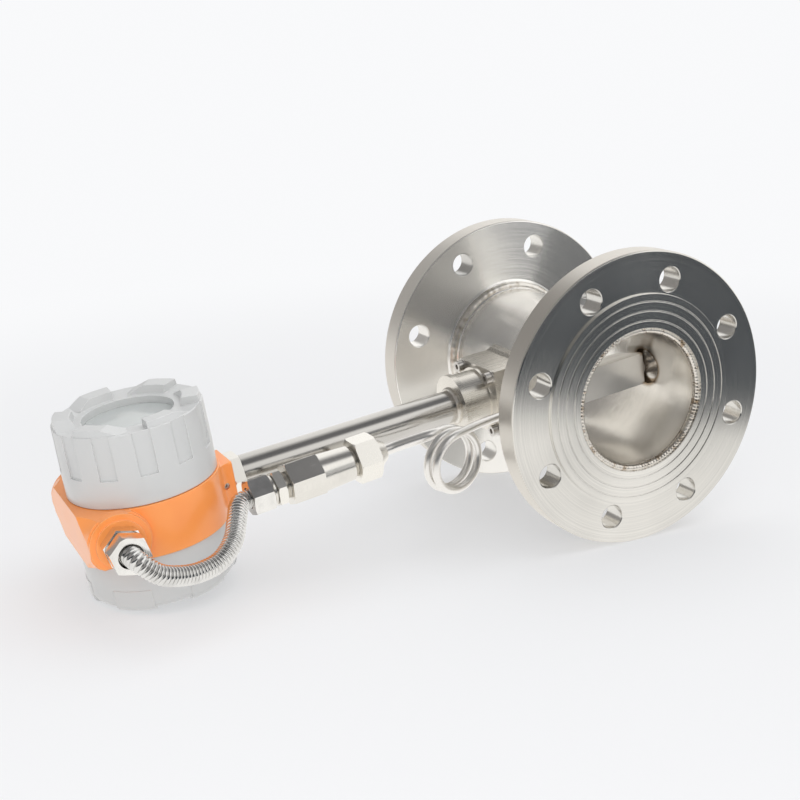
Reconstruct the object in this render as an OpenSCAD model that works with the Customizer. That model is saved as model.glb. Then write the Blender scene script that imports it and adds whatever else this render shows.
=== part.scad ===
// Vortex flow meter, DN100, with a pressure sensor and a drum-shaped transmitter housing.
// Origin: centre of the flow bore, midway between the flange faces.
// +X is the flow direction, +Z runs up the stem to the housing, and the display faces -Y.

/* [Meter tube] */
// Distance between the two sealing faces
face_to_face = 205; // [190:1:240]
// Outside diameter of the tube
tube_od = 108; // [104:0.5:112]
// Wall of the tube
tube_wall = 4; // [3:0.5:5]
// How far each tube end stands back from the sealing face
tube_recess = 5; // [3:0.5:7]

/* [Flanges] */
// Outside diameter of a flange
flange_od = 220; // [210:1:230]
// Thickness of a flange with its raised face
flange_t = 21; // [18:0.5:26]
// Gap between the edge of the raised sealing face and the bolt circle
raised_gap = 11; // [10:0.5:14]
// Height of the raised sealing face
raised_h = 2; // [1.5:0.5:3]
// Distance from the rim of a flange to its bolt circle
bolt_edge = 20; // [18:0.5:22]
// Number of bolt holes
bolt_count = 8; // [4:4:8]
// Diameter of a bolt hole
bolt_hole_d = 18; // [16:0.5:20]
// Chamfer on the mouths of the bolt holes
bolt_chamfer = 0.6; // [0.3:0.1:1]
// Chamfer on the rim of a flange
rim_chamfer = 1; // [0.5:0.5:2]
// Distance of the outmost sealing groove from the edge of the raised face
groove_edge = 6; // [3:0.5:8]
// Step between the sealing grooves
groove_step = 7; // [5:0.5:8]
// Width of a sealing groove
groove_w = 0.9; // [0.5:0.1:1.5]
// Depth of a sealing groove
groove_depth = 0.5; // [0.3:0.1:1]
// Leg of the weld around the tube behind each flange
outer_weld = 7; // [4:0.5:9]
// Leg of the weld around the tube end inside each flange
inner_weld = 4; // [2:0.5:4.5]

/* [Bluff body] */
// Width of the bar across the flow
bluff_w = 25; // [22:0.5:28]
// Length of the bar along the flow
bluff_len = 36; // [26:0.5:38]
// Straight lip behind the upstream face
bluff_lip = 4; // [2:0.5:6]
// Width of the downstream end
bluff_tail_w = 9; // [6:0.5:14]
// Gap between the bar's downstream end and the sensing blade
bluff_gap = 5; // [1:0.5:8]
// Gap between the bar's lower end and the tube wall
bluff_end_gap = 6; // [3:0.5:8]
// Diameter of the round foot that holds the bar's lower end
foot_d = 16; // [12:0.5:18]
// Gap between that foot and the downstream side of its hole
foot_clear = 1; // [0.5:0.1:3]
// Diameter of the hole in the tube wall for that foot
foot_hole_d = 28; // [24:0.5:30]
// Distance from the bar's upstream face to the middle of that hole
foot_back = 4; // [2:0.5:6]
// How far the plug that closes the hole from outside reaches around it
plug_rim = 5; // [3:0.5:8]
// How far the plug stands out of the tube
plug_h = 5; // [3:0.5:8]

/* [Sensor seat] */
// Width of the square seat and of the bonnet flange on it
seat_w = 52; // [50:0.5:56]
// Height of the top of the seat over the tube
seat_rise = 10; // [8:0.5:14]
// Leg of the weld between seat and tube
seat_weld = 5; // [3:0.5:6]
// Bore through the seat and the tube wall
seat_bore_d = 27; // [25:0.5:30]

/* [Sensor] */
// Clearance between the sensor's barrel and the bore of its seat
probe_clear = 1.5; // [1:0.1:3]
// Width of the sensor's flange around that bore
probe_rim = 3; // [2:0.5:4]
// Thickness of the sensor's flange
probe_flange_t = 3.4; // [2.5:0.1:3.6]
// Length of the sensing blade below the tube wall
blade_len = 24; // [16:0.5:30]
// Width of the sensing blade along the flow
blade_w = 10; // [8:0.5:11]
// Thickness of the sensing blade
blade_t = 2.5; // [2:0.5:4]
// Thickness of the gasket under the sensor's flange
gasket_t = 1.6; // [1:0.1:2]

/* [Bonnet] */
// Thickness of the square bonnet flange
bonnet_flange_t = 13.6; // [10:0.2:16]
// Gap between the screws' washers and the round step on the bonnet flange
washer_gap = 0.6; // [0.3:0.1:2]
// Height of that step
bonnet_step_h = 3.5; // [2:0.5:5]
// Width of the step around the bonnet sleeve
step_w = 2; // [1:0.5:4]
// Length of the sleeve above the step
sleeve_len = 22; // [16:0.5:28]
// Height of the collar at the end of the sleeve over the sleeve
collar_rise = 1.25; // [0.5:0.25:2.5]
// Length of that collar
collar_len = 4.5; // [3:0.5:6]
// Bore through the bonnet for the sensor's lead
bonnet_bore_d = 16; // [12:0.5:18]

/* [Bonnet screws] */
// Distance from the side of the bonnet flange to a screw's axis
screw_edge = 4.7; // [4:0.1:6]
// Shank diameter of a bonnet screw
screw_d = 5; // [4:0.5:6]
// Head diameter of a bonnet screw
screw_head_d = 8.5; // [7.5:0.5:9]
// Head height of a bonnet screw
screw_head_h = 5; // [4:0.5:6]
// Key size of the socket in a bonnet screw
screw_key = 4; // [3:0.5:5]
// Length of a screw in the seat
screw_reach = 8; // [6:0.5:9]
// Outside diameter of a washer
washer_d = 10; // [9:0.5:10]
// Thickness of a washer
washer_t = 1; // [0.5:0.1:1.5]

/* [Stem] */
// Outside diameter of the stem tube
stem_d = 25; // [22:0.5:26]
// Wall of the stem tube
stem_wall = 2; // [1.5:0.5:3]
// Leg of the weld bead at the foot of the stem
stem_weld = 2.2; // [1.5:0.1:3]
// How far the stem reaches into the bonnet sleeve
stem_seat = 6; // [4:0.5:8]
// How far the stem reaches into the housing neck
stem_grip = 11; // [8:0.5:13]
// Diameter of the sensor's lead inside the stem
lead_d = 3.2; // [2.5:0.1:4]

/* [Lock nut] */
// Key size of the stem's lock nut
lock_nut_af = 30; // [28:0.5:32]
// Height of the lock nut
lock_nut_h = 8.5; // [6:0.5:10]

/* [Housing body] */
// Height of the drum's axis over the bore axis
drum_z = 347; // [343:0.5:352]
// Radius of the drum
drum_r = 53.5; // [53:0.25:56]
// Half length of the drum between the covers
drum_half = 18.5; // [17:0.5:20]
// Wall of the threaded rings that carry the covers
ring_wall = 4.5; // [3:0.25:6]
// Half thickness of the wall between the two hollows
partition_half = 3; // [2:0.5:4]
// Length of those rings
thread_len = 15.5; // [12:0.5:18]
// Distance from the top of the drum down to the cable entry axis
entry_drop = 19; // [17:0.5:21]
// How far the face of each cable entry stands beyond the drum's radius
entry_proud = 3.5; // [2:0.5:8]
// Radius of the outer boss at each cable entry
boss_r = 20.5; // [18.5:0.25:21]
// Length of the outer boss
boss_len = 8; // [5:0.5:9]
// Radius of the bar's rounded ends
bar_end_r = 21.5; // [21:0.5:25]
// Radius of the inner boss at each cable entry
boss_step_r = 16.5; // [15.5:0.25:17.5]
// Height of the inner boss
boss_step_h = 1.6; // [1:0.2:2.4]
// Radius of the cable entry bores
entry_bore_r = 9; // [8:0.25:10]
// Width of the square neck
neck_w = 33; // [32:0.5:36]
// Length of the neck below the drum
neck_len = 6; // [4:0.5:9]
// Radius of the blend between neck and drum
neck_blend = 9; // [6:0.5:12]
// Radius of the flare from the round bosses to the square bar
bar_flare = 45; // [30:1:60]
// Distance from the middle to the flat on the rear side of each cable entry
entry_flat_y = 14; // [13:0.5:20]
// Length of that flat from the face of the boss
entry_flat_len = 10; // [6:0.5:12]

/* [Neck screw] */
// Diameter of the grub screw in the neck
grub_d = 5; // [4:0.5:6]
// Length of the grub screw
grub_len = 3; // [2.5:0.1:3.6]
// Key size of the grub screw
grub_key = 2.5; // [2:0.5:3]
// Height of the grub screw over the neck's end
grub_rise = 7; // [5:0.5:9]

/* [Covers] */
// How far the covers stand back from the drum's radius
cover_step = 1.5; // [0.5:0.25:3]
// Distance from a cover's outside to the threaded ring in it
cover_wall = 6; // [5:0.25:7]
// Distance from the drum's middle to the top of the front cover
front_top = 67; // [65:0.5:72]
// Distance from the drum's middle to the end of the rear cover
rear_top = 56.4; // [54:0.5:62]
// Gap between cover and body
cover_gap = 0.4; // [0.3:0.1:0.6]
// Clearance around the threaded rings
thread_clear = 0.3; // [0.25:0.05:0.5]
// Number of grip recesses around a cover
grip_count = 12; // [8:1:12]
// Angle that a grip recess spans
grip_angle = 13.5; // [8:0.5:18]
// Angle of the first grip recess
grip_turn = 24; // [0:1:30]
// Depth of a grip recess
grip_depth = 1.3; // [0.8:0.1:2]
// Distance from the drum's middle to the foot of the grip recesses
grip_foot = 38.3; // [37:0.1:42]
// Number of lobes on the top of the front cover
lobe_count = 6; // [4:1:6]
// Height of a lobe at its step
lobe_h = 6.2; // [4:0.2:8]
// Angle that a lobe spans
lobe_angle = 44; // [30:1:50]
// Angle of the level part of a lobe
lobe_level = 26; // [15:1:35]
// Angle of the step of the first lobe
lobe_turn = 180; // [150:1:200]
// Width of the band that carries the lobes around the window
lobe_w = 14; // [12:0.5:17]
// Number of pads around the rear cover
pad_count = 6; // [4:1:6]
// Angle that a pad spans
pad_angle = 31; // [20:1:36]
// Turn of the first pad around the cover
pad_turn = 39; // [0:1:60]
// Height of a pad over the wall
pad_h = 0.4; // [0.2:0.1:1]
// Height of a pad over the cover's end
pad_end_h = 1.8; // [1:0.2:3]
// Distance from the drum's middle to the foot of the pads
pad_foot = 42; // [40:0.5:44]
// Rounding of the rear cover's end
rear_round = 6; // [3:0.5:7]
// Thickness of a cover's seal
seal_t = 1.4; // [1.2:0.1:1.6]

/* [Window] */
// Width of the lip that holds the glass around the window
window_lip_w = 6.3; // [4:0.1:8]
// Thickness of the cover over the glass
window_lip = 5; // [4:0.5:6]
// Distance from the threaded ring's radius to the glass
glass_step = 8; // [7:0.5:11]
// Thickness of the window glass
glass_t = 8; // [6:0.5:9]
// Thickness of the ring that holds the glass
ring_t = 3; // [2:0.5:4]
// Width of that ring under the glass
ring_w = 4; // [2:0.5:5]

/* [Display] */
// Clearance around the display board
board_clear = 3; // [2:0.5:5]
// Thickness of the circuit boards
board_t = 1.6; // [1.2:0.2:2]
// Free height between the display's front plate and the ring under the glass
display_gap = 6.2; // [3:0.2:8]
// Width of the display glass
lcd_w = 48; // [40:1:52]
// Height of the display glass
lcd_h = 24; // [20:1:28]
// Thickness of the display glass
lcd_t = 5.2; // [4:0.2:5.4]
// Shift of the display glass from the middle of the board
lcd_shift = 5; // [3:0.5:7]
// How far the display's front plate stands back from the board's edge
bezel_step = 1.5; // [1:0.5:3]
// Thickness of the display's front plate
bezel_t = 1.8; // [1.2:0.2:2.4]
// Radius of a key
key_r = 3.2; // [2.5:0.1:3.6]
// Distance between neighbouring keys
key_pitch = 14; // [11:0.5:16]
// Distance from the middle of the board to the row of keys
key_drop = 17; // [15:0.5:19]
// How far a key can be pushed in
key_travel = 0.5; // [0.3:0.1:0.8]
// How far a key stands out of the front plate
key_proud = 1.4; // [1:0.1:2]
// Clearance around a key
key_clear = 0.3; // [0.25:0.05:0.4]
// Radius of a board post
post_r = 2.5; // [2:0.25:3]
// Distance of the board posts from the board's edge
post_edge = 5.5; // [4:0.5:7]

/* [Terminals] */
// Width of the terminal board
terminal_w = 58; // [50:1:60]
// Height of the terminal board
terminal_h = 34; // [30:1:40]
// Distance from the drum's middle to the terminal board
terminal_rise = 12; // [10:0.5:16]
// Number of terminals
terminal_count = 5; // [3:1:6]
// Step between the terminals
terminal_pitch = 9; // [8:0.5:9.5]
// Depth of the terminal block
block_d = 14; // [10:0.5:16]
// Height of the terminal block over its board
block_h = 13; // [10:0.5:15]
// Distance of the ground screw below the drum's axis
ground_drop = 27; // [24:0.5:30]
// Diameter of a terminal screw's head
terminal_screw_d = 6; // [5:0.5:7]

/* [Conduit gland] */
// Key size of the gland's body
gland_af = 25; // [24:0.5:28]
// Length of the gland's hexagon
gland_hex_len = 9; // [6:0.5:11]
// Key size of the gland's nut
gland_nut_af = 24.5; // [22:0.5:26]
// Length of the gland's nut
gland_nut_len = 11; // [8:0.5:13]
// Length of the neck between hexagon and nut
gland_gap = 3; // [2:0.5:4]

/* [Cable gland] */
// Key size of the cable gland
cable_af = 24; // [22:0.5:26]
// Length of the cable gland's hexagon
cable_hex_len = 6; // [4:0.5:8]
// Length of the cable gland's domed nut
cable_dome_len = 17; // [14:0.5:20]
// Diameter of the cable that the gland takes
cable_d = 8; // [6:0.5:10]

/* [Flexible conduit] */
// Outside diameter over the ridges
conduit_d = 14; // [12:0.5:15]
// Depth of a groove between ridges
conduit_groove = 1.1; // [0.7:0.1:1.4]
// Distance between ridges
conduit_pitch = 2; // [1.8:0.1:3]

/* [Pressure sensor] */
// Distance of the sensor's axis from the stem's axis, against the flow
sensor_x = -42; // [-46:0.5:-40]
// Distance from the neck's end down to the sensor's foot
sensor_drop = 96.5; // [92:0.5:101]
// Lean of the pressure sensor towards the rear
sensor_lean = 1.5; // [0:0.1:3]
// Key size of the pigtail's union nut
union_af = 30; // [27:0.5:32]
// Length of the union nut's hexagon
union_len = 17; // [14:0.5:20]
// Length of the cone on the union nut
union_cone = 8; // [4:0.5:9]
// Diameter of the thread between union nut and sensor
nipple_d = 21; // [18:0.5:22]
// Visible length of that thread
nipple_len = 3; // [2:0.5:6]
// Diameter of the sensor's barrel at its foot
barrel_foot_d = 25; // [23:0.5:26]
// Diameter of the sensor's barrel at its hexagon
barrel_d = 27.5; // [26:0.5:28.5]
// Length of the sensor's barrel
barrel_len = 24; // [18:0.5:28]
// Key size of the sensor's hexagon
sensor_af = 28; // [26:0.5:30]
// Length of the sensor's hexagon
sensor_hex_len = 24.5; // [20:0.5:28]
// Key size of the jam nut on the sensor
jam_af = 23; // [22:0.5:26]
// Length of the jam nut
jam_len = 6.5; // [5:0.5:8]
// Key size of the conduit's end nut
end_af = 24; // [22:0.5:25]
// Length of the conduit's end nut
end_len = 15.5; // [12:0.5:17]
// Diameter of the necks between the nuts
sensor_neck_d = 18; // [16:0.5:20]

/* [Pigtail] */
// Diameter of the pigtail tube
pigtail_d = 6; // [5:0.5:7]
// Diameter of the tube's straight end in the union nut
pigtail_end_d = 8; // [6:0.5:9]
// Clearance around that straight end
pigtail_clear = 0.4; // [0.2:0.1:0.8]
// Radius of the pigtail's loops
loop_r = 21.3; // [20:0.5:25]
// Width of a loop against its height
loop_wide = 1.09; // [1:0.01:1.15]
// Number of loops
loop_count = 2; // [1:1:2]
// Distance between neighbouring loops
loop_pitch = 8.8; // [8:0.5:11]
// Turn of the loops' axis away from the flow direction
loop_turn = 15; // [10:1:25]
// Distance of the loops' middle from the sensor's axis, against the flow
loop_back = 14.3; // [12:0.1:18]
// Distance of the loops' middle from the stem's axis, towards the rear
loop_aside = 17.5; // [15:0.5:20]
// Distance of the loops' middle below the sensor's foot
loop_drop = 54.6; // [50:0.1:60]
// Diameter of the boss where the pigtail joins the tube
tap_d = 16; // [14:0.5:20]
// Height of that boss over the tube
tap_h = 10; // [8:0.5:14]

/* [Hidden] */
$fn = 96;
eps = 0.01;
tube_r = tube_od / 2;
bore_r = tube_r - tube_wall;
bolt_circle = flange_od - 2 * bolt_edge;
raised_d = bolt_circle - 2 * raised_gap;
groove_r = raised_d / 2 - groove_edge;
bluff_face_x = -blade_w / 2 - bluff_gap - bluff_len;
hole_x = bluff_face_x + foot_back;
foot_x = hole_x + (foot_hole_d - foot_d) / 2 - foot_clear;
plug_d = foot_hole_d + 2 * plug_rim;
seat_top = tube_r + seat_rise;
probe_d = seat_bore_d - 2 * probe_clear;
probe_flange_d = seat_bore_d + 2 * probe_rim;
screw_pitch = seat_w - 2 * screw_edge;
bonnet_step_d = screw_pitch * sqrt(2) - washer_d - 2 * washer_gap;
sleeve_d = bonnet_step_d - 2 * step_w;
collar_d = sleeve_d + 2 * collar_rise;
neck_z = drum_z - drum_r - neck_len;
cover_r = drum_r - cover_step;
thread_r = cover_r - cover_wall;
hollow_r = thread_r - ring_wall;
glass_r = thread_r - glass_step;
window_r = glass_r - window_lip_w;
ring_in_r = glass_r - ring_w;
lobe_in_r = cover_r - lobe_w;
board_r = hollow_r - board_clear;
bezel_r = board_r - bezel_step;
post_place_r = board_r - post_edge;
entry_reach = drum_r + entry_proud;
face_x = face_to_face / 2;
tube_end_x = face_x - tube_recess;
flange_back_x = face_x - flange_t;
bonnet_top = seat_top + bonnet_flange_t;
step_top = bonnet_top + bonnet_step_h;
sleeve_top = step_top + sleeve_len;
stem_r = stem_d / 2;
stem_foot = sleeve_top - stem_seat;
stem_top = neck_z + stem_grip;
sensor_recess = gasket_t + probe_flange_t;
sensor_floor = seat_top - sensor_recess;
entry_z = drum_z + drum_r - entry_drop;
bar_top_z = entry_z + boss_r;
front_glass_h = front_top - window_lip - glass_t;
board_h = front_glass_h - ring_t - display_gap - lcd_t - board_t;
sensor_z = neck_z - sensor_drop;
rim_rise = 1.8;
steel = "#c9c7c2";
bright_steel = "#d8d6d0";
dark_steel = "#8c8a86";
orange_paint = "#f08030";
grey_paint = "#c6c8c8";
ridge_sides = 18;
pigtail_sides = 12;

// Shared forms

// A bar along Z with a chamfered hexagon section and a round bore
module hex_bar(af, len, bore = 0, chamfer = 1) {
    corner_r = af / sqrt(3);
    difference() {
        intersection() {
            cylinder(r = corner_r, h = len, $fn = 6);
            rotate_extrude() polygon([[0, 0], [corner_r - chamfer, 0], [corner_r, chamfer * 0.58],
                [corner_r, len - chamfer * 0.58], [corner_r - chamfer, len], [0, len]]);
        }
        if (bore > 0) translate([0, 0, -1]) cylinder(d = bore, h = len + 2);
    }
}

// A tube section along Z
module ring(r_out, r_in, h) {
    difference() {
        cylinder(r = r_out, h = h);
        translate([0, 0, -1]) cylinder(r = r_in, h = h + 2);
    }
}

// A flat sector that starts at one angle, for cutting pieces of a ring
module sector(r, start, span) {
    steps = 4;
    polygon(concat([[0, 0]], [for (i = [0:steps])
        r * [cos(start + span * i / steps), sin(start + span * i / steps)]]));
}

// A square with rounded corners
module round_square(w, h, r) {
    union() {
        square([w - 2 * r, h], center = true);
        square([w, h - 2 * r], center = true);
        for (sx = [-1, 1], sy = [-1, 1])
            translate([sx * (w / 2 - r), sy * (h / 2 - r)]) circle(r = r);
    }
}

// Puts a piece that points up the drum's axis on the front side, the display side
module on_front() translate([0, 0, drum_z]) rotate([90, 0, 0]) children();

// Puts a piece that points up the drum's axis on the rear side
module on_rear() translate([0, 0, drum_z]) rotate([-90, 0, 0]) children();

// Puts a piece that points up its own axis along the flow direction or against it
module along_x(way) rotate([0, way * 90, 0]) children();

// Puts a piece on the leaning axis of the pressure sensor
module on_sensor_axis() translate(axis_point(0)) rotate([-sensor_lean, 0, 0]) children();

// Point on that axis at a height over the sensor's foot
function axis_point(h) = [sensor_x, 0.5, sensor_z] + h * [0, sin(sensor_lean), cos(sensor_lean)];

// Meter tube and flanges

module meter_tube() {
    color(steel) difference() {
        translate([-tube_end_x, 0, 0]) along_x(1) ring(tube_r, bore_r, 2 * tube_end_x);
        cylinder(d = seat_bore_d, h = tube_r + 1);
        translate([hole_x, 0, -tube_r - 1]) cylinder(d = foot_hole_d, h = tube_r);
        translate([tap_x, tap_y, 0]) cylinder(d = pigtail_d - 2, h = tube_r + 1);
    }
}

// Half section of a flange with its two welds, from the sealing face inwards
function flange_section() = [
    [tube_r, inner_weld_reach],
    [tube_r, 0],
    [raised_d / 2, 0],
    [raised_d / 2, raised_h],
    [flange_od / 2 - rim_chamfer, raised_h],
    [flange_od / 2, raised_h + rim_chamfer],
    [flange_od / 2, flange_t - rim_chamfer],
    [flange_od / 2 - rim_chamfer, flange_t],
    [tube_r + outer_weld, flange_t],
    [tube_r + outer_weld * 0.42, flange_t + outer_weld * 0.42],
    [tube_r, flange_t + outer_weld],
    [tube_r, tube_recess],
    [bore_r + 0.6, tube_recess],
    [bore_r + 1.4, tube_recess - inner_weld * 0.62]];
inner_weld_reach = tube_recess - inner_weld;

module flange() {
    difference() {
        rotate_extrude($fn = 180) polygon(flange_section());
        for (i = [0:bolt_count - 1]) rotate([0, 0, (i + 0.5) * 360 / bolt_count])
            translate([bolt_circle / 2, 0, 0]) {
                translate([0, 0, -1]) cylinder(d = bolt_hole_d, h = flange_t + 2, $fn = 48);
                translate([0, 0, raised_h - eps]) cylinder(d1 = bolt_hole_d + 2 * bolt_chamfer,
                    d2 = bolt_hole_d, h = bolt_chamfer, $fn = 48);
                translate([0, 0, flange_t - bolt_chamfer + eps]) cylinder(d1 = bolt_hole_d,
                    d2 = bolt_hole_d + 2 * bolt_chamfer, h = bolt_chamfer, $fn = 48);
            }
        for (i = [0:2]) translate([0, 0, -1])
            ring(groove_r - i * groove_step + groove_w, groove_r - i * groove_step, 1 + groove_depth);
    }
}

module inlet_flange() color(bright_steel) translate([-face_x, 0, 0]) along_x(1) flange();

module outlet_flange() color(bright_steel) translate([face_x, 0, 0]) along_x(-1) flange();

// The bar across the bore that sheds the vortices, shaped to the wall at its upper end
module bluff_body() {
    half = bluff_w / 2;
    tail = bluff_tail_w / 2;
    color(steel) union() {
        intersection() {
            translate([bluff_face_x, 0, bluff_end_gap - bore_r]) linear_extrude(2 * tube_r)
                polygon([[0, -half], [bluff_lip, -half], [bluff_len, -tail],
                    [bluff_len, tail], [bluff_lip, half], [0, half]]);
            translate([-tube_od, 0, 0]) along_x(1) cylinder(r = bore_r, h = 2 * tube_od);
        }
        intersection() {
            translate([foot_x, 0, -tube_r]) cylinder(d = foot_d, h = tube_wall + bluff_end_gap + 4);
            translate([-tube_od, 0, 0]) along_x(1) cylinder(r = tube_r, h = 2 * tube_od);
        }
    }
}

// Round plug, saddled on the tube, that closes the hole below the bar's foot
module bar_plug() color(steel) difference() {
    translate([hole_x, 0, -tube_r - plug_h]) cylinder(d = plug_d, h = plug_h + tube_r);
    translate([-tube_od, 0, 0]) along_x(1) cylinder(r = tube_r, h = 2 * tube_od);
}

// Sensor seat, sensor and bonnet

module screw_places() for (sx = [-1, 1], sy = [-1, 1])
    translate([sx * screw_pitch / 2, sy * screw_pitch / 2, 0]) children();

module sensor_seat() {
    half = seat_w / 2;
    weld_z = sqrt(tube_r * tube_r - half * half);
    color(steel) difference() {
        union() {
            translate([-half, -half, 0]) cube([seat_w, seat_w, seat_top]);
            for (side = [-1, 1]) scale([1, side, 1]) translate([-half, half, weld_z])
                rotate([90, 0, 90]) linear_extrude(seat_w) polygon([[-1, -seat_weld],
                    [seat_weld * 0.9, -seat_weld], [seat_weld * 0.3, seat_weld * 0.5], [0, seat_weld * 1.1],
                    [-1, seat_weld * 1.1]]);
        }
        translate([-tube_od, 0, 0]) along_x(1) cylinder(r = tube_r, h = 2 * tube_od);
        cylinder(d = seat_bore_d, h = seat_top + 1);
        translate([0, 0, sensor_floor]) cylinder(d = probe_flange_d + 1, h = sensor_recess + 1);
        translate([0, 0, seat_top - screw_reach - 1]) screw_places()
            cylinder(d = screw_d, h = screw_reach + 2);
    }
}

module sensor_gasket() color("#4a4a4a") translate([0, 0, sensor_floor])
    ring(probe_flange_d / 2, seat_bore_d / 2, gasket_t);

module sensor_probe() {
    flange_z = sensor_floor + gasket_t;
    color(bright_steel) union() {
        translate([0, 0, flange_z]) cylinder(d = probe_flange_d, h = probe_flange_t);
        translate([0, 0, bore_r + 0.3]) cylinder(d = probe_d, h = flange_z - bore_r + 0.7);
        translate([-blade_w / 2, -blade_t / 2, bore_r - blade_len]) cube([blade_w, blade_t, blade_len + 1]);
        translate([0, 0, flange_z]) cylinder(d = bonnet_bore_d - 4, h = probe_flange_t + 6);
    }
}

module bonnet() {
    half = seat_w / 2;
    color(steel) difference() {
        union() {
            translate([-half, -half, seat_top]) cube([seat_w, seat_w, bonnet_flange_t]);
            cylinder(d = bonnet_step_d, h = step_top);
            cylinder(d = sleeve_d, h = sleeve_top);
            translate([0, 0, sleeve_top - collar_len]) cylinder(d = collar_d, h = collar_len);
            translate([0, 0, sleeve_top]) cylinder(r1 = stem_r + stem_weld, r2 = stem_r, h = stem_weld);
        }
        translate([-tube_od, -tube_od, 0]) cube([2 * tube_od, 2 * tube_od, seat_top]);
        cylinder(d = bonnet_bore_d, h = sleeve_top + stem_weld + 1);
        translate([0, 0, stem_foot]) cylinder(d = stem_d, h = stem_seat + stem_weld + 1);
        screw_places() cylinder(d = screw_d + 0.6, h = bonnet_top + 1);
    }
}

module bonnet_screws() {
    head_z = bonnet_top + washer_t;
    color("#b8b8b4") translate([0, 0, head_z]) screw_places() difference() {
        union() {
            cylinder(d = screw_head_d, h = screw_head_h);
            translate([0, 0, seat_top - screw_reach - head_z])
                cylinder(d = screw_d, h = head_z - seat_top + screw_reach + 1);
        }
        translate([0, 0, screw_head_h / 2]) cylinder(r = screw_key / sqrt(3), h = screw_head_h, $fn = 6);
    }
}

module bonnet_washers() color(bright_steel) translate([0, 0, bonnet_top]) screw_places()
    ring(washer_d / 2, screw_d / 2, washer_t);

// Stem

module stem_tube() color(bright_steel) translate([0, 0, stem_foot])
    ring(stem_r, stem_r - stem_wall, stem_top - stem_foot);

module sensor_lead() {
    lead_foot = sensor_floor + gasket_t + probe_flange_t + 6;
    color("#303030") translate([0, 0, lead_foot]) cylinder(d = lead_d, h = stem_top + 3 - lead_foot);
}

module stem_lock_nut() color(bright_steel) translate([0, 0, neck_z - lock_nut_h])
    hex_bar(lock_nut_af, lock_nut_h, stem_d, 1.2);

// Housing body

module body_solid() {
    half = drum_half;
    reach = entry_reach - boss_step_h;
    // Drum
    translate([0, half, drum_z]) rotate([90, 0, 0]) cylinder(r = drum_r, h = 2 * half, $fn = 180);
    difference() {
        entry_bar(half, reach);
        for (way = [-1, 1]) translate([way * entry_reach, entry_flat_y + boss_r, entry_z])
            cube([2 * entry_flat_len, 2 * boss_r, 4 * boss_r], center = true);
    }
    translate([-entry_reach, 0, entry_z]) along_x(1) intersection() {
        cylinder(r = boss_step_r, h = 2 * entry_reach);
        translate([-boss_r, -boss_r, 0]) cube([2 * boss_r, boss_r + entry_flat_y, 2 * entry_reach]);
    }
    // Neck
    translate([0, 0, neck_z]) linear_extrude(drum_z - neck_z) round_square(neck_w, neck_w, 2);
    neck_blends();
    // Rings that carry the covers
    translate([0, half + thread_len, drum_z]) rotate([90, 0, 0])
        cylinder(r = thread_r, h = 2 * (half + thread_len), $fn = 180);
}

// The bar that joins the two cable entries, round at its ends and square in the middle
module entry_bar(half, reach) {
    intersection() {
        translate([0, half, (drum_z + bar_top_z) / 2]) rotate([90, 0, 0]) linear_extrude(2 * half)
            round_square(2 * (reach - 2.4), bar_top_z - drum_z, 1);
        translate([0, 0, entry_z]) along_x(1) rotate_extrude($fn = 180) difference() {
            translate([0, -reach]) square([2 * boss_r, 2 * reach]);
            for (way = [-1, 1]) translate([bar_end_r + bar_flare, way * reach])
                circle(r = bar_flare, $fn = 180);
        }
    }
    // Bosses at the two cable entries
    translate([-reach, 0, entry_z]) along_x(1) difference() {
        cylinder(r = boss_r, h = 2 * reach);
        translate([0, 0, boss_len]) cylinder(r = boss_r + 1, h = 2 * (reach - boss_len));
    }
}

// Concave corners where the neck meets the drum, on the two sides along the flow
module neck_blends() {
    reach = drum_r + neck_blend;
    side_x = neck_w / 2 + neck_blend;
    side_z = sqrt(reach * reach - side_x * side_x);
    for (way = [-1, 1]) translate([0, neck_w / 2, drum_z]) rotate([90, 0, 0]) linear_extrude(neck_w)
        difference() {
            polygon([[0, 0], [way * side_x, -side_z], [way * (neck_w / 2 - 1), -side_z]]);
            translate([way * side_x, -side_z]) circle(r = neck_blend);
        }
}

module housing_body() {
    half = drum_half;
    color(orange_paint) difference() {
        body_solid();
        for (way = [0, 180]) translate([0, 0, drum_z]) rotate([90 + way, 0, 0])
            translate([0, 0, partition_half])
                cylinder(r = hollow_r, h = half + thread_len - partition_half + 1, $fn = 180);
        translate([-entry_reach - 1, 0, entry_z]) along_x(1)
            cylinder(r = entry_bore_r, h = 2 * entry_reach + 2);
        translate([0, 0, neck_z - 1]) cylinder(d = stem_d, h = drum_z - hollow_r - neck_z + 7);
        translate([0, 0, neck_z + grub_rise]) along_x(-1) cylinder(d = grub_d, h = neck_w);
    }
}

module neck_grub_screw() color("#303030") translate([-stem_r, 0, neck_z + grub_rise]) along_x(-1)
    difference() {
        cylinder(d = grub_d, h = grub_len);
        translate([0, 0, grub_len - 1.6]) cylinder(r = grub_key / sqrt(3), h = 2, $fn = 6);
    }

// Covers

// Shallow recesses around a cover, open towards its top
module grips(top) for (i = [0:grip_count - 1])
    translate([0, 0, grip_foot]) linear_extrude(top - grip_foot + 1) difference() {
        sector(cover_r + 6, grip_turn + i * 360 / grip_count - grip_angle / 2, grip_angle);
        circle(r = cover_r - grip_depth);
    }

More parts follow.
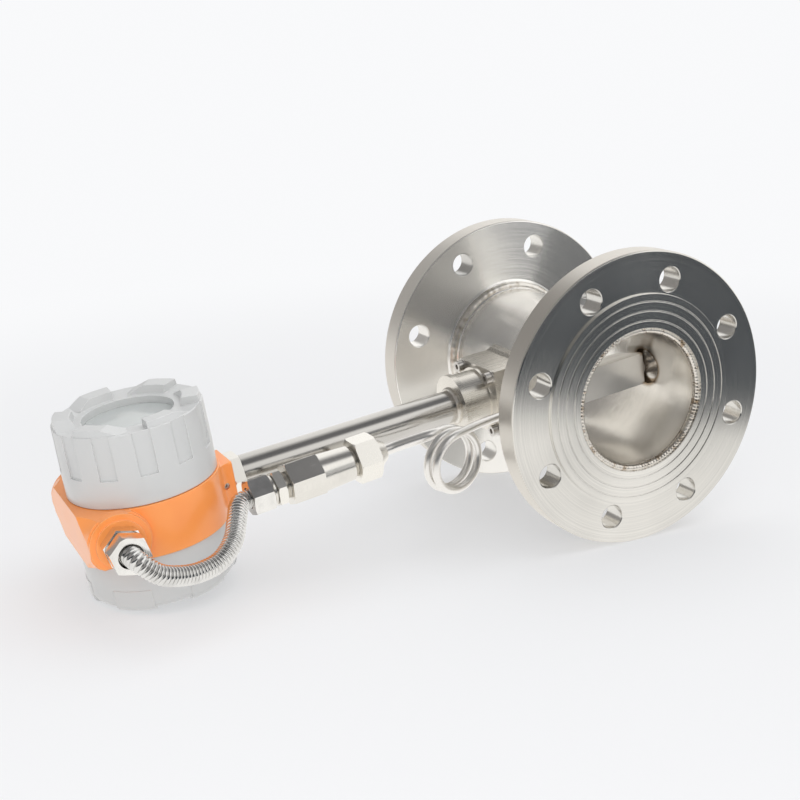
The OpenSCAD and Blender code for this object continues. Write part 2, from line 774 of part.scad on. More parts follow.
// One lobe on the front cover's top: level from its step, then a ramp down to the rim
module lobe() {
    top = front_top + lobe_h;
    ramp_run = (cover_r - 2) * 2 * PI * (lobe_angle - lobe_level) / 360;
    difference() {
        intersection() {
            rotate_extrude($fn = 180) polygon([[lobe_in_r - 1.5, front_top - 1],
                [cover_r - 1.6, front_top - 1], [cover_r - 1.6, front_top + rim_rise],
                [cover_r - 2.4, top], [lobe_in_r, top - 0.5]]);
            linear_extrude(top + 1) sector(cover_r + 10, 0, lobe_angle);
        }
        rotate([0, 0, lobe_level]) translate([0, 0, top - 0.4]) rotate([-atan(lobe_h / ramp_run), 0, 0])
            translate([0, -3, 0]) cube([2 * cover_r, 2 * cover_r, 3 * lobe_h]);
    }
}

module front_cover() {
    foot = drum_half + cover_gap;
    shoulder = drum_half + thread_len + 2;
    glass_h = front_glass_h;
    bore = thread_r + thread_clear;
    color(grey_paint) on_front() difference() {
        union() {
            rotate_extrude($fn = 180) polygon([[bore, foot], [cover_r, foot],
                [cover_r, grip_foot], [cover_r - 0.5, front_top + rim_rise - 0.5],
                [cover_r - 1, front_top + rim_rise], [lobe_in_r - 1, front_top],
                [window_r, front_top], [window_r, front_top - window_lip],
                [glass_r, front_top - window_lip], [glass_r, glass_h],
                [bore - 2.3, glass_h], [bore - 2.3, shoulder], [bore, shoulder]]);
            for (i = [0:lobe_count - 1]) rotate([0, 0, lobe_turn + i * 360 / lobe_count]) lobe();
        }
        grips(front_top + lobe_h);
    }
}

module window_glass() color("#dfe8e6") on_front() translate([0, 0, front_glass_h])
    cylinder(r = glass_r, h = glass_t);

module window_ring() color(dark_steel) on_front() translate([0, 0, front_glass_h - ring_t])
    ring(thread_r + thread_clear - 2.3, ring_in_r, ring_t);

// Ring in the gap between the threaded ring's end and the cover's shoulder
module cover_seal() translate([0, 0, drum_half + thread_len + 1 - seal_t / 2])
    ring(thread_r - 0.4, thread_r - 0.4 - seal_t, seal_t);

module front_cover_seal() color("#202020") on_front() cover_seal();

// Half section of a cover's blank with a rounded end
module rounded_blank(r, foot, top) {
    translate([0, foot]) square([r, top - rear_round - foot]);
    translate([0, foot]) square([r - rear_round, top - foot]);
    translate([r - rear_round, top - rear_round]) circle(r = rear_round, $fn = 64);
}

module rear_cover() {
    foot = drum_half + cover_gap;
    shoulder = drum_half + thread_len + 2;
    bore = thread_r + thread_clear;
    pad_r = cover_r + pad_h;
    color(grey_paint) on_rear() difference() {
        union() {
            rotate_extrude($fn = 180) rounded_blank(cover_r, foot, rear_top);
            for (i = [0:pad_count - 1]) intersection() {
                rotate_extrude($fn = 180) rounded_blank(pad_r, pad_foot, rear_top + pad_end_h);
                linear_extrude(2 * rear_top) difference() {
                    sector(cover_r + 10, pad_turn + i * 360 / pad_count - pad_angle / 2, pad_angle);
                    circle(r = lobe_in_r);
                }
            }
        }
        translate([0, 0, foot - 1]) cylinder(r = bore, h = shoulder - foot + 1);
        translate([0, 0, shoulder - 1]) cylinder(r = bore - 2.3, h = rear_top - 5 - shoulder + 1);
    }
}

module rear_cover_seal() color("#202020") on_rear() cover_seal();

// Display

module post_places() for (i = [0:3]) rotate([0, 0, 45 + i * 90]) translate([post_place_r, 0, 0]) children();

module board_posts() color("#b59a4a") on_front() translate([0, 0, partition_half]) post_places()
    cylinder(r = post_r, h = board_h - partition_half);

module display_board() color("#1f6b3a") on_front() translate([0, 0, board_h])
    cylinder(r = board_r, h = board_t);

module lcd_panel() color("#b9c4b4") on_front()
    translate([-lcd_w / 2, lcd_shift - lcd_h / 2, board_h + board_t]) cube([lcd_w, lcd_h, lcd_t]);

bezel_h = board_h + board_t + lcd_t - bezel_t;

module key_places() for (i = [-1:1]) translate([i * key_pitch, -key_drop, 0]) children();

module display_bezel() color("#d5d8d8") on_front() difference() {
    union() {
        translate([0, 0, bezel_h]) cylinder(r = bezel_r, h = bezel_t);
        translate([0, 0, board_h + board_t]) ring(bezel_r, bezel_r - 1.6, lcd_t - 0.5);
    }
    translate([-lcd_w / 2, lcd_shift - lcd_h / 2, board_h]) cube([lcd_w, lcd_h, lcd_t * 3]);
    key_places() cylinder(r = key_r + key_clear, h = front_top);
}

// A key with a flange behind the front plate that keeps it in
module display_key(place) {
    foot_h = board_h + board_t + key_travel + 0.4;
    color("#5a6468") on_front() translate([place * key_pitch, -key_drop, 0]) union() {
        translate([0, 0, foot_h]) cylinder(r = key_r + 1, h = bezel_h - key_clear - foot_h);
        translate([0, 0, foot_h]) cylinder(r = key_r, h = bezel_h + bezel_t + key_proud - foot_h);
    }
}

module left_key() display_key(-1);

module middle_key() display_key(0);

module right_key() display_key(1);

// Terminals

module terminal_post_places() for (sx = [-1, 1], sy = [-1, 1])
    translate([sx * (terminal_w / 2 - 4), sy * (terminal_h / 2 - 4), 0]) children();

module terminal_posts() color("#b59a4a") on_rear() translate([0, 0, partition_half]) terminal_post_places()
    cylinder(r = post_r, h = terminal_rise - partition_half);

module terminal_board() color("#1f6b3a") on_rear()
    translate([-terminal_w / 2, -terminal_h / 2, terminal_rise]) cube([terminal_w, terminal_h, board_t]);

terminal_foot = terminal_rise + board_t;

module terminal_places() for (i = [0:terminal_count - 1])
    translate([(i - (terminal_count - 1) / 2) * terminal_pitch, 0, 0]) children();

module terminal_block() color("#3f7f4c") on_rear() difference() {
    translate([-terminal_count * terminal_pitch / 2, -block_d / 2, terminal_foot])
        cube([terminal_count * terminal_pitch, block_d, block_h]);
    terminal_places() translate([0, 0, terminal_foot + block_h - 4])
        cylinder(d = terminal_screw_d + 0.6, h = 9);
    terminal_places() translate([0, -block_d / 2 - 1, terminal_foot + 4.5]) rotate([-90, 0, 0])
        cylinder(d = 5, h = block_d / 2);
}

module terminal_screws() color(bright_steel) on_rear() terminal_places()
    translate([0, 0, terminal_foot + block_h - 4]) difference() {
        cylinder(d = terminal_screw_d, h = 2.4);
        translate([-terminal_screw_d, -0.5, 1.2]) cube([2 * terminal_screw_d, 1, 2]);
    }

module ground_screw() color("#b59a4a") on_rear() translate([0, ground_drop, partition_half]) difference() {
    union() {
        cylinder(r = 5, h = 1.2);
        cylinder(r = 3.6, h = 4);
    }
    translate([-5, -0.6, 3]) cube([10, 1.2, 2]);
}

// Glands

module conduit_gland() color(steel) translate([-entry_reach, 0, entry_z]) along_x(-1) difference() {
    union() {
        rotate([0, 0, 42]) hex_bar(gland_af, gland_hex_len, 0, 1.2);
        cylinder(d = gland_nut_af - 3, h = gland_hex_len + gland_gap);
        translate([0, 0, -12]) cylinder(r = entry_bore_r, h = 13);
    }
    translate([0, 0, -13]) cylinder(d = conduit_d - 2, h = gland_hex_len + gland_gap + 14);
}

gland_nut_foot = gland_hex_len + gland_gap;
gland_mouth_x = -(entry_reach + gland_nut_foot + gland_nut_len);

module conduit_gland_nut() color(bright_steel) translate([-entry_reach - gland_nut_foot, 0, entry_z])
    along_x(-1) difference() {
        rotate([0, 0, 42]) hex_bar(gland_nut_af, gland_nut_len, conduit_d + 1, 1.2);
        translate([0, 0, gland_nut_len - 3]) cylinder(d1 = conduit_d + 1, d2 = conduit_d + 3, h = 3.1);
    }

module cable_gland() color("#3a3d3f") translate([entry_reach, 0, entry_z]) along_x(1) difference() {
    union() {
        hex_bar(cable_af, cable_hex_len, 0, 1);
        cylinder(d = cable_af - 5, h = cable_hex_len + 3);
        translate([0, 0, -12]) cylinder(r = entry_bore_r, h = 13);
    }
    translate([0, 0, -13]) cylinder(d = cable_d + 3, h = cable_hex_len + 17);
}

cable_nut_foot = cable_hex_len + 3;

module cable_gland_nut() color("#3a3d3f") translate([entry_reach + cable_nut_foot, 0, entry_z]) along_x(1)
    difference() {
        intersection() {
            rotate([0, 0, 30]) cylinder(r = cable_af / sqrt(3), h = cable_dome_len, $fn = 6);
            union() {
                cylinder(r = cable_af / 2 + 1, h = cable_dome_len - 6);
                translate([0, 0, cable_dome_len - 6])
                    cylinder(r1 = cable_af / 2 + 1, r2 = cable_af / 2 - 4, h = 6);
            }
        }
        translate([0, 0, -1]) cylinder(d = cable_d + 5, h = cable_dome_len - 4);
        translate([0, 0, -1]) cylinder(d = cable_d + 2, h = cable_dome_len + 2);
    }

module cable_gland_seal() color("#202020") translate([entry_reach + cable_nut_foot, 0, entry_z]) along_x(1)
    translate([0, 0, 0.5]) ring(cable_d / 2 + 2.5, cable_d / 2, cable_dome_len - 5.5);

// Pressure sensor, from the union nut at its foot to the conduit's end nut

nipple_end = 1.5;
barrel_foot = union_len + nipple_len;
sensor_hex_foot = barrel_foot + barrel_len;
jam_foot = sensor_hex_foot + sensor_hex_len + 3.5;
end_foot = jam_foot + jam_len + 3;
end_top = end_foot + end_len;

module union_nut() color(steel) on_sensor_axis() difference() {
    union() {
        rotate([0, 0, 1]) hex_bar(union_af, union_len, 0, 1.6);
        translate([0, 0, -union_cone])
            cylinder(d1 = pigtail_end_d + 6, d2 = union_af - 4, h = union_cone + 1);
    }
    translate([0, 0, -union_cone - 1]) cylinder(d = pigtail_end_d + pigtail_clear, h = union_cone + 3);
    translate([0, 0, 1]) cylinder(d = nipple_d, h = union_len);
}

module pressure_sensor() color(bright_steel) on_sensor_axis() union() {
    translate([0, 0, nipple_end]) cylinder(d = nipple_d, h = barrel_foot - nipple_end + 0.5);
    translate([0, 0, barrel_foot]) cylinder(d1 = barrel_foot_d, d2 = barrel_d, h = barrel_len);
    translate([0, 0, sensor_hex_foot]) rotate([0, 0, 20]) hex_bar(sensor_af, sensor_hex_len, 0, 1);
    translate([0, 0, sensor_hex_foot]) cylinder(d = sensor_neck_d, h = end_foot - sensor_hex_foot);
    translate([0, 0, end_foot - 2.2]) cylinder(d = end_af - 3, h = 1.2);
}

module sensor_jam_nut() color("#cfccc4") on_sensor_axis() translate([0, 0, jam_foot])
    rotate([0, 0, 20]) hex_bar(jam_af, jam_len, sensor_neck_d, 1.2);

module conduit_end_nut() color(bright_steel) on_sensor_axis() translate([0, 0, end_foot])
    rotate([0, 0, 18]) hex_bar(end_af, end_len, conduit_d + 1, 1.4);

// Pigtail and conduit, swept along their routes

// Sum of a list from its start to one place
function sum_to(list, n) = n < 0 ? 0 : list[n] + sum_to(list, n - 1);

function unit(v) = v / norm(v);

// Point on a smooth curve through four neighbouring points
function spline(a, b, c, d, t) = 0.5 * ((2 * b) + (c - a) * t + (2 * a - 5 * b + 4 * c - d) * t * t
    + (3 * b - a - 3 * c + d) * t * t * t);

// A route refined to a number of steps between its points, ends doubled
function smooth_route(p, steps) = let (n = len(p)) concat([for (i = [0:n - 2], k = [0:steps - 1])
    spline(p[max(i - 1, 0)], p[i], p[i + 1], p[min(i + 2, n - 1)], k / steps)], [p[n - 1]]);

// Direction of a route at each of its points
function route_ways(p) = let (n = len(p)) [for (i = [0:n - 1])
    unit(p[min(i + 1, n - 1)] - p[max(i - 1, 0)])];

// Sideways vectors that turn as little as possible along the route
function route_sides(ways, i, side) = let (s = unit(side - (side * ways[i]) * ways[i]))
    i == len(ways) - 1 ? [s] : concat([s], route_sides(ways, i + 1, s));

// A tube of given radii at the points of a route
module sweep(points, radii, sides, side) {
    ways = route_ways(points);
    across = route_sides(ways, 0, side);
    n = len(points);
    corners = [for (i = [0:n - 1], k = [0:sides - 1]) let (a = 360 * k / sides)
        points[i] + radii[i] * (cos(a) * across[i] + sin(a) * cross(ways[i], across[i]))];
    walls = [for (i = [0:n - 2], k = [0:sides - 1]) let (a = i * sides + k,
        b = i * sides + (k + 1) % sides, c = b + sides, d = a + sides) each [[a, d, c], [a, c, b]]];
    ends = [[for (k = [0:sides - 1]) k], [for (k = [0:sides - 1]) n * sides - 1 - k]];
    polyhedron(points = corners, faces = concat(walls, ends));
}

// Foot of the pigtail on the tube, under the middle of its loops
tap_x = -50;
tap_y = -1.5;
tap_top = tube_r + tap_h;
tap_rise = 20;
loop_lead = 22;
loop_middle = [sensor_x - loop_back, loop_aside, sensor_z - loop_drop];
loop_axis = [cos(loop_turn), 0, sin(loop_turn)];
loop_side = [-sin(loop_turn), 0, cos(loop_turn)];

function loop_point(turn) = loop_middle + loop_axis * loop_pitch * (turn / 360 - loop_count / 2)
    + loop_r * ([0, -cos(turn), 0] + loop_wide * sin(turn) * loop_side);

loop_steps = 20 * loop_count;
loop_start = loop_point(0);
loop_end = loop_point(360 * loop_count);
pigtail_in = smooth_route([[tap_x, tap_y, tap_top - 4], [tap_x, tap_y, tap_top + 6],
    [tap_x - 1, tap_y, tap_top + tap_rise], loop_start - loop_lead * loop_side, loop_start], 4);
pigtail_out = smooth_route([loop_end, loop_end + 12 * loop_side + [1, 0, 0],
    axis_point(-union_cone - 12) + [-1.5, -0.7, 0], axis_point(-union_cone - 3), axis_point(nipple_end)], 4);
pigtail_route = concat([for (i = [0:len(pigtail_in) - 2]) pigtail_in[i]],
    [for (i = [0:loop_steps]) loop_point(360 * loop_count * i / loop_steps)],
    [for (i = [1:len(pigtail_out) - 1]) pigtail_out[i]]);

pigtail_radii = [for (i = [0:len(pigtail_route) - 1])
    let (grown = min(1, max(0, (i - (len(pigtail_route) - len(pigtail_out))) / 4)))
    pigtail_d / 2 + grown * (pigtail_end_d - pigtail_d) / 2];

module pigtail_tube() color(bright_steel) sweep(pigtail_route, pigtail_radii, pigtail_sides, [1, 0, 0]);

module pressure_tap() color(steel) difference() {
    translate([tap_x, tap_y, tube_r - 10]) cylinder(d = tap_d, h = tap_top - tube_r + 10);
    translate([-tube_od, 0, 0]) along_x(1) cylinder(r = tube_r, h = 2 * tube_od);
    translate([tap_x, tap_y, 0]) cylinder(d = pigtail_d - 2, h = tap_top + 1);
    translate([tap_x, tap_y, tap_top - 4]) cylinder(d = pigtail_d, h = 5);
}

// The conduit leaves its gland against the flow, hangs beside the drum and climbs into its end nut
conduit_start = [gland_mouth_x + 4, 0, entry_z];
conduit_end = axis_point(end_foot + 3);
// Bends below the gland, from its mouth, and above the sensor, from the neck's end
gland_bends = [[-2, -0.2, -0.3], [-8.5, 3.4, -3.7], [-11, 12.8, -12.8], [-8.5, 19.5, -25.5],
    [-4.5, 23.4, -39.6], [1, 23.2, -55.4]];
sensor_bends = [[-28, 16.7, 24.9], [-16, 8, 16], [-6, 3.5, 10], [-1, 3, 3.5]];
conduit_points = concat([conduit_start], [for (p = gland_bends) p + [gland_mouth_x, 0, entry_z]],
    [for (p = sensor_bends) p + [sensor_x, 0, neck_z]], [conduit_end]);
conduit_curve = smooth_route(conduit_points, 8);
conduit_steps = [for (i = [0:len(conduit_curve) - 2]) norm(conduit_curve[i + 1] - conduit_curve[i])];
conduit_runs = [for (i = [0:len(conduit_steps)]) sum_to(conduit_steps, i - 1)];
conduit_len = conduit_runs[len(conduit_runs) - 1];
ridge_count = floor(conduit_len / conduit_pitch);

// Point of the curve at a distance from its start
function curve_at(s, i = 0) = i >= len(conduit_steps) - 1 || conduit_runs[i + 1] >= s
    ? conduit_curve[i] + (conduit_curve[i + 1] - conduit_curve[i]) * (s - conduit_runs[i]) / conduit_steps[i]
    : curve_at(s, i + 1);

module flexible_conduit() {
    rings = [for (i = [0:2 * ridge_count]) curve_at(conduit_len * i / (2 * ridge_count))];
    radii = [for (i = [0:2 * ridge_count]) conduit_d / 2 - (i % 2 == 0 ? conduit_groove : 0)];
    color("#d0d0cc") sweep(rings, radii, ridge_sides, [0, 1, 0]);
}

meter_tube();
inlet_flange();
outlet_flange();
bluff_body();
bar_plug();
sensor_seat();
sensor_gasket();
sensor_probe();
bonnet();
bonnet_screws();
bonnet_washers();
stem_tube();
sensor_lead();
stem_lock_nut();
housing_body();
neck_grub_screw();
front_cover();
window_glass();
window_ring();
front_cover_seal();
rear_cover();
rear_cover_seal();
board_posts();
display_board();
lcd_panel();
display_bezel();
left_key();
middle_key();
right_key();
terminal_posts();
terminal_board();
terminal_block();
terminal_screws();
ground_screw();
conduit_gland();
conduit_gland_nut();
flexible_conduit();
conduit_end_nut();
cable_gland();
cable_gland_nut();
cable_gland_seal();
pressure_sensor();
sensor_jam_nut();
union_nut();
pigtail_tube();
pressure_tap();
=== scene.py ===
"""Looks of the flow meter: turned and brushed steel, coated housing, glass, conduit and welds."""

import math

import bmesh
import bpy
from mathutils import Matrix, Vector


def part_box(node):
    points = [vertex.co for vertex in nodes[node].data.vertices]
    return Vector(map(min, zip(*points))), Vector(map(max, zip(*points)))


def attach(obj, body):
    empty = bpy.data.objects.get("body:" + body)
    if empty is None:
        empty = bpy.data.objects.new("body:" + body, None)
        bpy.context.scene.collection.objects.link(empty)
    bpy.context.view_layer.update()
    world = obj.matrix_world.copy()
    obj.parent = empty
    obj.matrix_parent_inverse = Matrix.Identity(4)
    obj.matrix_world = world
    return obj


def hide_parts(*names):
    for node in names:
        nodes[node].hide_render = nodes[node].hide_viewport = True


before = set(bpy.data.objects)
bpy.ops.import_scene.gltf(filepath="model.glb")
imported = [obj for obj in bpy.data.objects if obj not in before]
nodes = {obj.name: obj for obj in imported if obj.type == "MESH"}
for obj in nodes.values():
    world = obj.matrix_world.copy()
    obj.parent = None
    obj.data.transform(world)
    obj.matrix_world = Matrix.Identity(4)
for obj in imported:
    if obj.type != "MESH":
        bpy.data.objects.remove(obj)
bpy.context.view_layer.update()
scene = bpy.context.scene
scene.view_settings.view_transform = "Standard"

MM = 0.001


def point(x, y, z):
    """A point given in millimetres, as a vector in metres."""
    return Vector((x, y, z)) * MM


# Camera: the place, turn and lens that were fitted to the photograph's flanges

FILM_WIDTH = 36.0
LENS = 57.85
CAMERA_PLACE = point(-830.6, -335.5, 519.2)
CAMERA_RIGHT = Vector((-0.45108, 0.14303, -0.88095))
CAMERA_DOWN = Vector((-0.23536, 0.93307, 0.27201))


def make_camera():
    data = bpy.data.cameras.new("camera")
    data.sensor_width = FILM_WIDTH
    data.lens = LENS
    data.clip_start = 0.01
    data.clip_end = 60.0
    camera = bpy.data.objects.new("camera", data)
    scene.collection.objects.link(camera)
    back = CAMERA_RIGHT.cross(-CAMERA_DOWN)
    turn = Matrix((CAMERA_RIGHT, -CAMERA_DOWN, back)).transposed()
    camera.matrix_world = Matrix.Translation(CAMERA_PLACE) @ turn.to_4x4()
    scene.camera = camera


# Material nodes


class Value:
    """A number or colour that varies over a surface; its operators add Math nodes."""

    def __init__(self, finish, socket):
        self.finish = finish
        self.socket = socket

    def math(self, operation, *others):
        inputs = dict(enumerate((self, *others)))
        return self.finish.node("ShaderNodeMath", {"operation": operation}, inputs)

    def __add__(self, other):
        return self.math("ADD", other)

    def __sub__(self, other):
        return self.math("SUBTRACT", other)

    def __rsub__(self, other):
        return self.math("MULTIPLY_ADD", -1.0, other)

    def __mul__(self, other):
        return self.math("MULTIPLY", other)

    def __truediv__(self, other):
        return self.math("DIVIDE", other)

    __radd__ = __add__
    __rmul__ = __mul__

    def held(self):
        """The value, held between 0 and 1."""
        return self.math("MAXIMUM", 0.0).math("MINIMUM", 1.0)

    def step(self, start, end):
        """0 before start, 1 after end, and a smooth rise between them."""
        settings = {"interpolation_type": "SMOOTHSTEP"}
        return self.finish.node("ShaderNodeMapRange", settings, {0: self, 1: start, 2: end})


class Finish:
    """The nodes of one material or of the world."""

    def __init__(self, name, owner=None):
        self.owner = owner or bpy.data.materials.new(name)
        self.owner.use_nodes = True
        self.tree = self.owner.node_tree
        self.tree.nodes.clear()

    def node(self, kind, settings=None, inputs=None, out=0):
        """Adds a node, sets its settings, then its sockets' values or links."""
        node = self.tree.nodes.new(kind)
        for key, value in (settings or {}).items():
            setattr(node, key, value)
        for key, value in (inputs or {}).items():
            socket = node.inputs[key]
            if isinstance(value, Value):
                self.tree.links.new(value.socket, socket)
            elif isinstance(value, tuple) and socket.type == "RGBA":
                socket.default_value = (*value, 1.0)
            else:
                socket.default_value = value
        return Value(self, node.outputs[out])

    def place(self):
        """Object coordinates as three values, in metres."""
        return self.split(self.node("ShaderNodeTexCoord", out="Object"))

    def split(self, vector):
        """The three parts of a vector."""
        parts = self.node("ShaderNodeSeparateXYZ", None, {0: vector})
        return [Value(self, socket) for socket in parts.socket.node.outputs]

    def around(self, axis, middle):
        """Distance along an axis, the two across it and the radius, from a middle point."""
        x, y, z = [value - offset for value, offset in zip(self.place(), middle)]
        along, across, rise = {"x": (x, y, z), "y": (y, x, z), "z": (z, x, y)}[axis]
        radius = (across * across + rise * rise).math("SQRT")
        return along, across, rise, radius

    def vector(self, x, y, z):
        return self.node("ShaderNodeCombineXYZ", None, {0: x, 1: y, 2: z})

    def noise(self, vector, detail=2.0, rough=0.5):
        inputs = {"Vector": vector, "Scale": 1.0, "Detail": detail, "Roughness": rough}
        return self.node("ShaderNodeTexNoise", None, inputs)

    def clouds(self, per_metre, detail=2.0):
        x, y, z = self.place()
        return self.noise(self.vector(x * per_metre, y * per_metre, z * per_metre), detail)

    def mix(self, first, second, factor):
        """A colour between two, by a value from 0 to 1."""
        inputs = {0: factor, 6: first, 7: second}
        return self.node("ShaderNodeMix", {"data_type": "RGBA"}, inputs, 2)

    def bump(self, height, distance, strength=1.0, normal=None):
        inputs = {"Height": height, "Distance": distance, "Strength": strength}
        if normal:
            inputs["Normal"] = normal
        return self.node("ShaderNodeBump", None, inputs)

    def round_edges(self, radius):
        return self.node("ShaderNodeBevel", {"samples": 6}, {"Radius": radius})

    def combine(self, operation, first, second):
        """A vector from two vectors, or from a vector and its scale."""
        inputs = {0: first, ("Scale" if operation == "SCALE" else 1): second}
        return self.node("ShaderNodeVectorMath", {"operation": operation}, inputs)

    def grooved(self, across, slope, radius):
        """The normal of rounded edges, tipped to and fro across the fine grooves of a tool."""
        tip = self.combine("SCALE", across, slope)
        return self.node("ShaderNodeVectorMath", {"operation": "NORMALIZE"},
                         {0: self.combine("ADD", self.round_edges(radius), tip)})

    def surface(self, colour, rough, metallic=0.0, normal=None, more=None):
        """Ends the material in one Principled shader and returns the material."""
        inputs = {"Base Color": colour, "Roughness": rough, "Metallic": metallic, **(more or {})}
        if normal:
            inputs["Normal"] = normal
        return self.end(self.node("ShaderNodeBsdfPrincipled", None, inputs))

    def end(self, shader):
        world = isinstance(self.owner, bpy.types.World)
        kind = "ShaderNodeOutputWorld" if world else "ShaderNodeOutputMaterial"
        output = self.tree.nodes.new(kind)
        self.tree.links.new(shader.socket, output.inputs["Surface"])
        return self.owner


# Floor, backdrop and light. The meter lies on both flange rims and its housing, so the floor
# is tilted.

FLOOR_TILT = math.radians(7.7)
FLOOR_DROP = 0.1101
FLOOR_HALF = 9.0
HAZE_START, HAZE_END = 0.25, 1.1
HAZE_LEAST = 0.42
MIRROR_SHARE = 0.95
UP = Vector((0.0, -math.cos(FLOOR_TILT), -math.sin(FLOOR_TILT)))
BACKDROP = (0.945, 0.95, 0.962)
FLOOR_WHITE = (0.78, 0.782, 0.79)
FLOOR_PALE = (0.80, 0.80, 0.805)
FLOOR_MIRRORED = (1.05, 1.035, 1.005)
ROOM_FRONT = (1.15, 1.14, 1.12)
ROOM_BACK = (0.32, 0.31, 0.30)
ROOM_OVERHEAD = (0.18, 0.18, 0.185)
ROOM_EVEN = (0.66, 0.665, 0.68)
STUDIO_DARK = (0.038, 0.047, 0.057)


def make_floor():
    """Floor that fades into the backdrop; metal sees it as bright card with a dark far part."""
    across = Vector((1.0, 0.0, 0.0))
    deep = UP.cross(across)
    mesh = bmesh.new()
    bmesh.ops.create_grid(mesh, x_segments=1, y_segments=1, size=FLOOR_HALF)
    turn = Matrix((across, deep, UP)).transposed().to_4x4()
    bmesh.ops.transform(mesh, matrix=Matrix.Translation(-UP * FLOOR_DROP) @ turn, verts=mesh.verts)
    floor = add_mesh("floor", mesh)
    if floor.data.polygons[0].normal.dot(UP) < 0.0:
        floor.data.flip_normals()
    paint = Finish("floor")
    x, y, z = paint.place()
    distance = (x * x + y * y + z * z).math("SQRT")
    far = distance.step(HAZE_START, HAZE_END) * (1.0 - HAZE_LEAST) + HAZE_LEAST
    tone = paint.mix(FLOOR_WHITE, FLOOR_PALE, paint.clouds(3.0))
    lit = paint.node("ShaderNodeBsdfDiffuse", None, {"Color": tone})
    haze = paint.node("ShaderNodeEmission", None, {"Color": BACKDROP})
    seen = paint.node("ShaderNodeMixShader", None, {0: far, 1: lit, 2: haze})
    mirrored = paint.mix(FLOOR_MIRRORED, STUDIO_DARK, ((x + z) * -1.0).step(0.47, 0.62))
    glow = paint.node("ShaderNodeEmission", None, {"Color": mirrored})
    glossy = paint.node("ShaderNodeLightPath", out="Is Glossy Ray")
    both = paint.node("ShaderNodeMixShader", None, {0: glossy * MIRROR_SHARE, 1: seen, 2: glow})
    behind = paint.node("ShaderNodeNewGeometry", out="Backfacing")
    clear = paint.node("ShaderNodeBsdfTransparent")
    one_sided = paint.node("ShaderNodeMixShader", None, {0: behind, 1: both, 2: clear})
    floor.data.materials.append(paint.end(one_sided))


def make_world():
    """Pale backdrop for the camera, and for reflections a room with a dark camera side."""
    world = bpy.data.worlds.new("studio")
    scene.world = world
    paint = Finish("studio", world)
    x, y, z = paint.split(paint.node("ShaderNodeTexCoord", out="Generated"))
    up = x * UP.x + y * UP.y + z * UP.z
    front = (z * -1.0).step(0.06, 0.30)
    room = paint.mix(ROOM_BACK, ROOM_FRONT, front)
    overhead = up.step(0.78, 0.90) * (x * -1.0).step(-0.62, 0.05)
    room = paint.mix(room, ROOM_OVERHEAD, overhead)
    camera_side = (x * -1.0).step(0.0, 0.4) * (1.0 - up.step(0.32, 0.44)) * z.step(-0.48, -0.35)
    room = paint.mix(room, STUDIO_DARK, camera_side)
    light_path = paint.node("ShaderNodeLightPath")
    glossy = Value(paint, light_path.socket.node.outputs["Is Glossy Ray"])
    camera = Value(paint, light_path.socket.node.outputs["Is Camera Ray"])
    clear = Value(paint, light_path.socket.node.outputs["Is Transmission Ray"])
    even = paint.mix(ROOM_EVEN, BACKDROP, (camera + clear).held())
    colour = paint.mix(even, room, glossy)
    paint.end(paint.node("ShaderNodeBackground", None, {"Color": colour}))


def make_lamp(name, place, target, width, height, power, colour):
    """An area lamp that faces a target and isn't seen in reflections."""
    data = bpy.data.lights.new(name, "AREA")
    data.shape = "RECTANGLE"
    data.size = width
    data.size_y = height
    data.energy = power
    data.color = colour
    lamp = bpy.data.objects.new(name, data)
    scene.collection.objects.link(lamp)
    turn = (place - target).to_track_quat("Z", "Y").to_matrix().to_4x4()
    lamp.matrix_world = Matrix.Translation(place) @ turn
    lamp.visible_glossy = False


def make_lamps():
    middle = point(0, 0, 180)
    housing = point(0, 0, 340)
    make_lamp("overhead_softbox", middle + UP * 1.2 + point(-60, 0, -420), middle,
              1.7, 1.5, 9.4, (1.0, 1.0, 1.0))
    make_lamp("camera_softbox", housing + point(-1000, -520, 330), housing,
              1.1, 0.7, 4.8, (1.0, 0.99, 0.97))


# Shapes

SPIN_STEPS = 96
SAME_PLACE = 1e-7
RINGS_PER_RIPPLE = 6
BEAD_SIDES = 12


def add_mesh(name, mesh, smooth_angle=None):
    """Makes an object of a bmesh and frees it; edges sharper than the angle stay sharp."""
    data = bpy.data.meshes.new(name)
    bmesh.ops.recalc_face_normals(mesh, faces=mesh.faces)
    if smooth_angle:
        for face in mesh.faces:
            face.smooth = True
        for edge in mesh.edges:
            soft = edge.calc_face_angle(0.0) < math.radians(smooth_angle)
            edge.smooth = len(edge.link_faces) == 2 and soft
    mesh.to_mesh(data)
    mesh.free()
    piece = bpy.data.objects.new(name, data)
    scene.collection.objects.link(piece)
    return piece


def fit(piece, material, body, slot, *replaced):
    """Gives a finished piece its material and body; the slot is not used."""
    piece.data.materials.append(material)
    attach(piece, body)
    if replaced:
        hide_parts(*replaced)


def axis_turn(way):
    """The turn that takes +Z to a direction."""
    return Vector(way).to_track_quat("Z", "Y").to_matrix().to_4x4()


def spin_profile(profile, place, way):
    """A closed body of revolution: (radius, height) points in millimetres, spun about an axis."""
    mesh = bmesh.new()
    verts = [mesh.verts.new(point(radius, 0, height)) for radius, height in profile]
    edges = [mesh.edges.new(pair) for pair in zip(verts, verts[1:] + verts[:1])]
    bmesh.ops.spin(mesh, geom=verts + edges, axis=(0, 0, 1), cent=(0, 0, 0), angle=math.tau,
                   steps=SPIN_STEPS, use_merge=True)
    bmesh.ops.remove_doubles(mesh, verts=mesh.verts, dist=SAME_PLACE)
    bmesh.ops.transform(mesh, matrix=Matrix.Translation(place) @ axis_turn(way), verts=mesh.verts)
    return mesh


def catmull(a, b, c, d, t):
    """Point on a smooth curve through four neighbouring points, as in the part's source."""
    return 0.5 * (2 * b + (c - a) * t + (2 * a - 5 * b + 4 * c - d) * t * t
                  + (3 * b - a - 3 * c + d) * t * t * t)


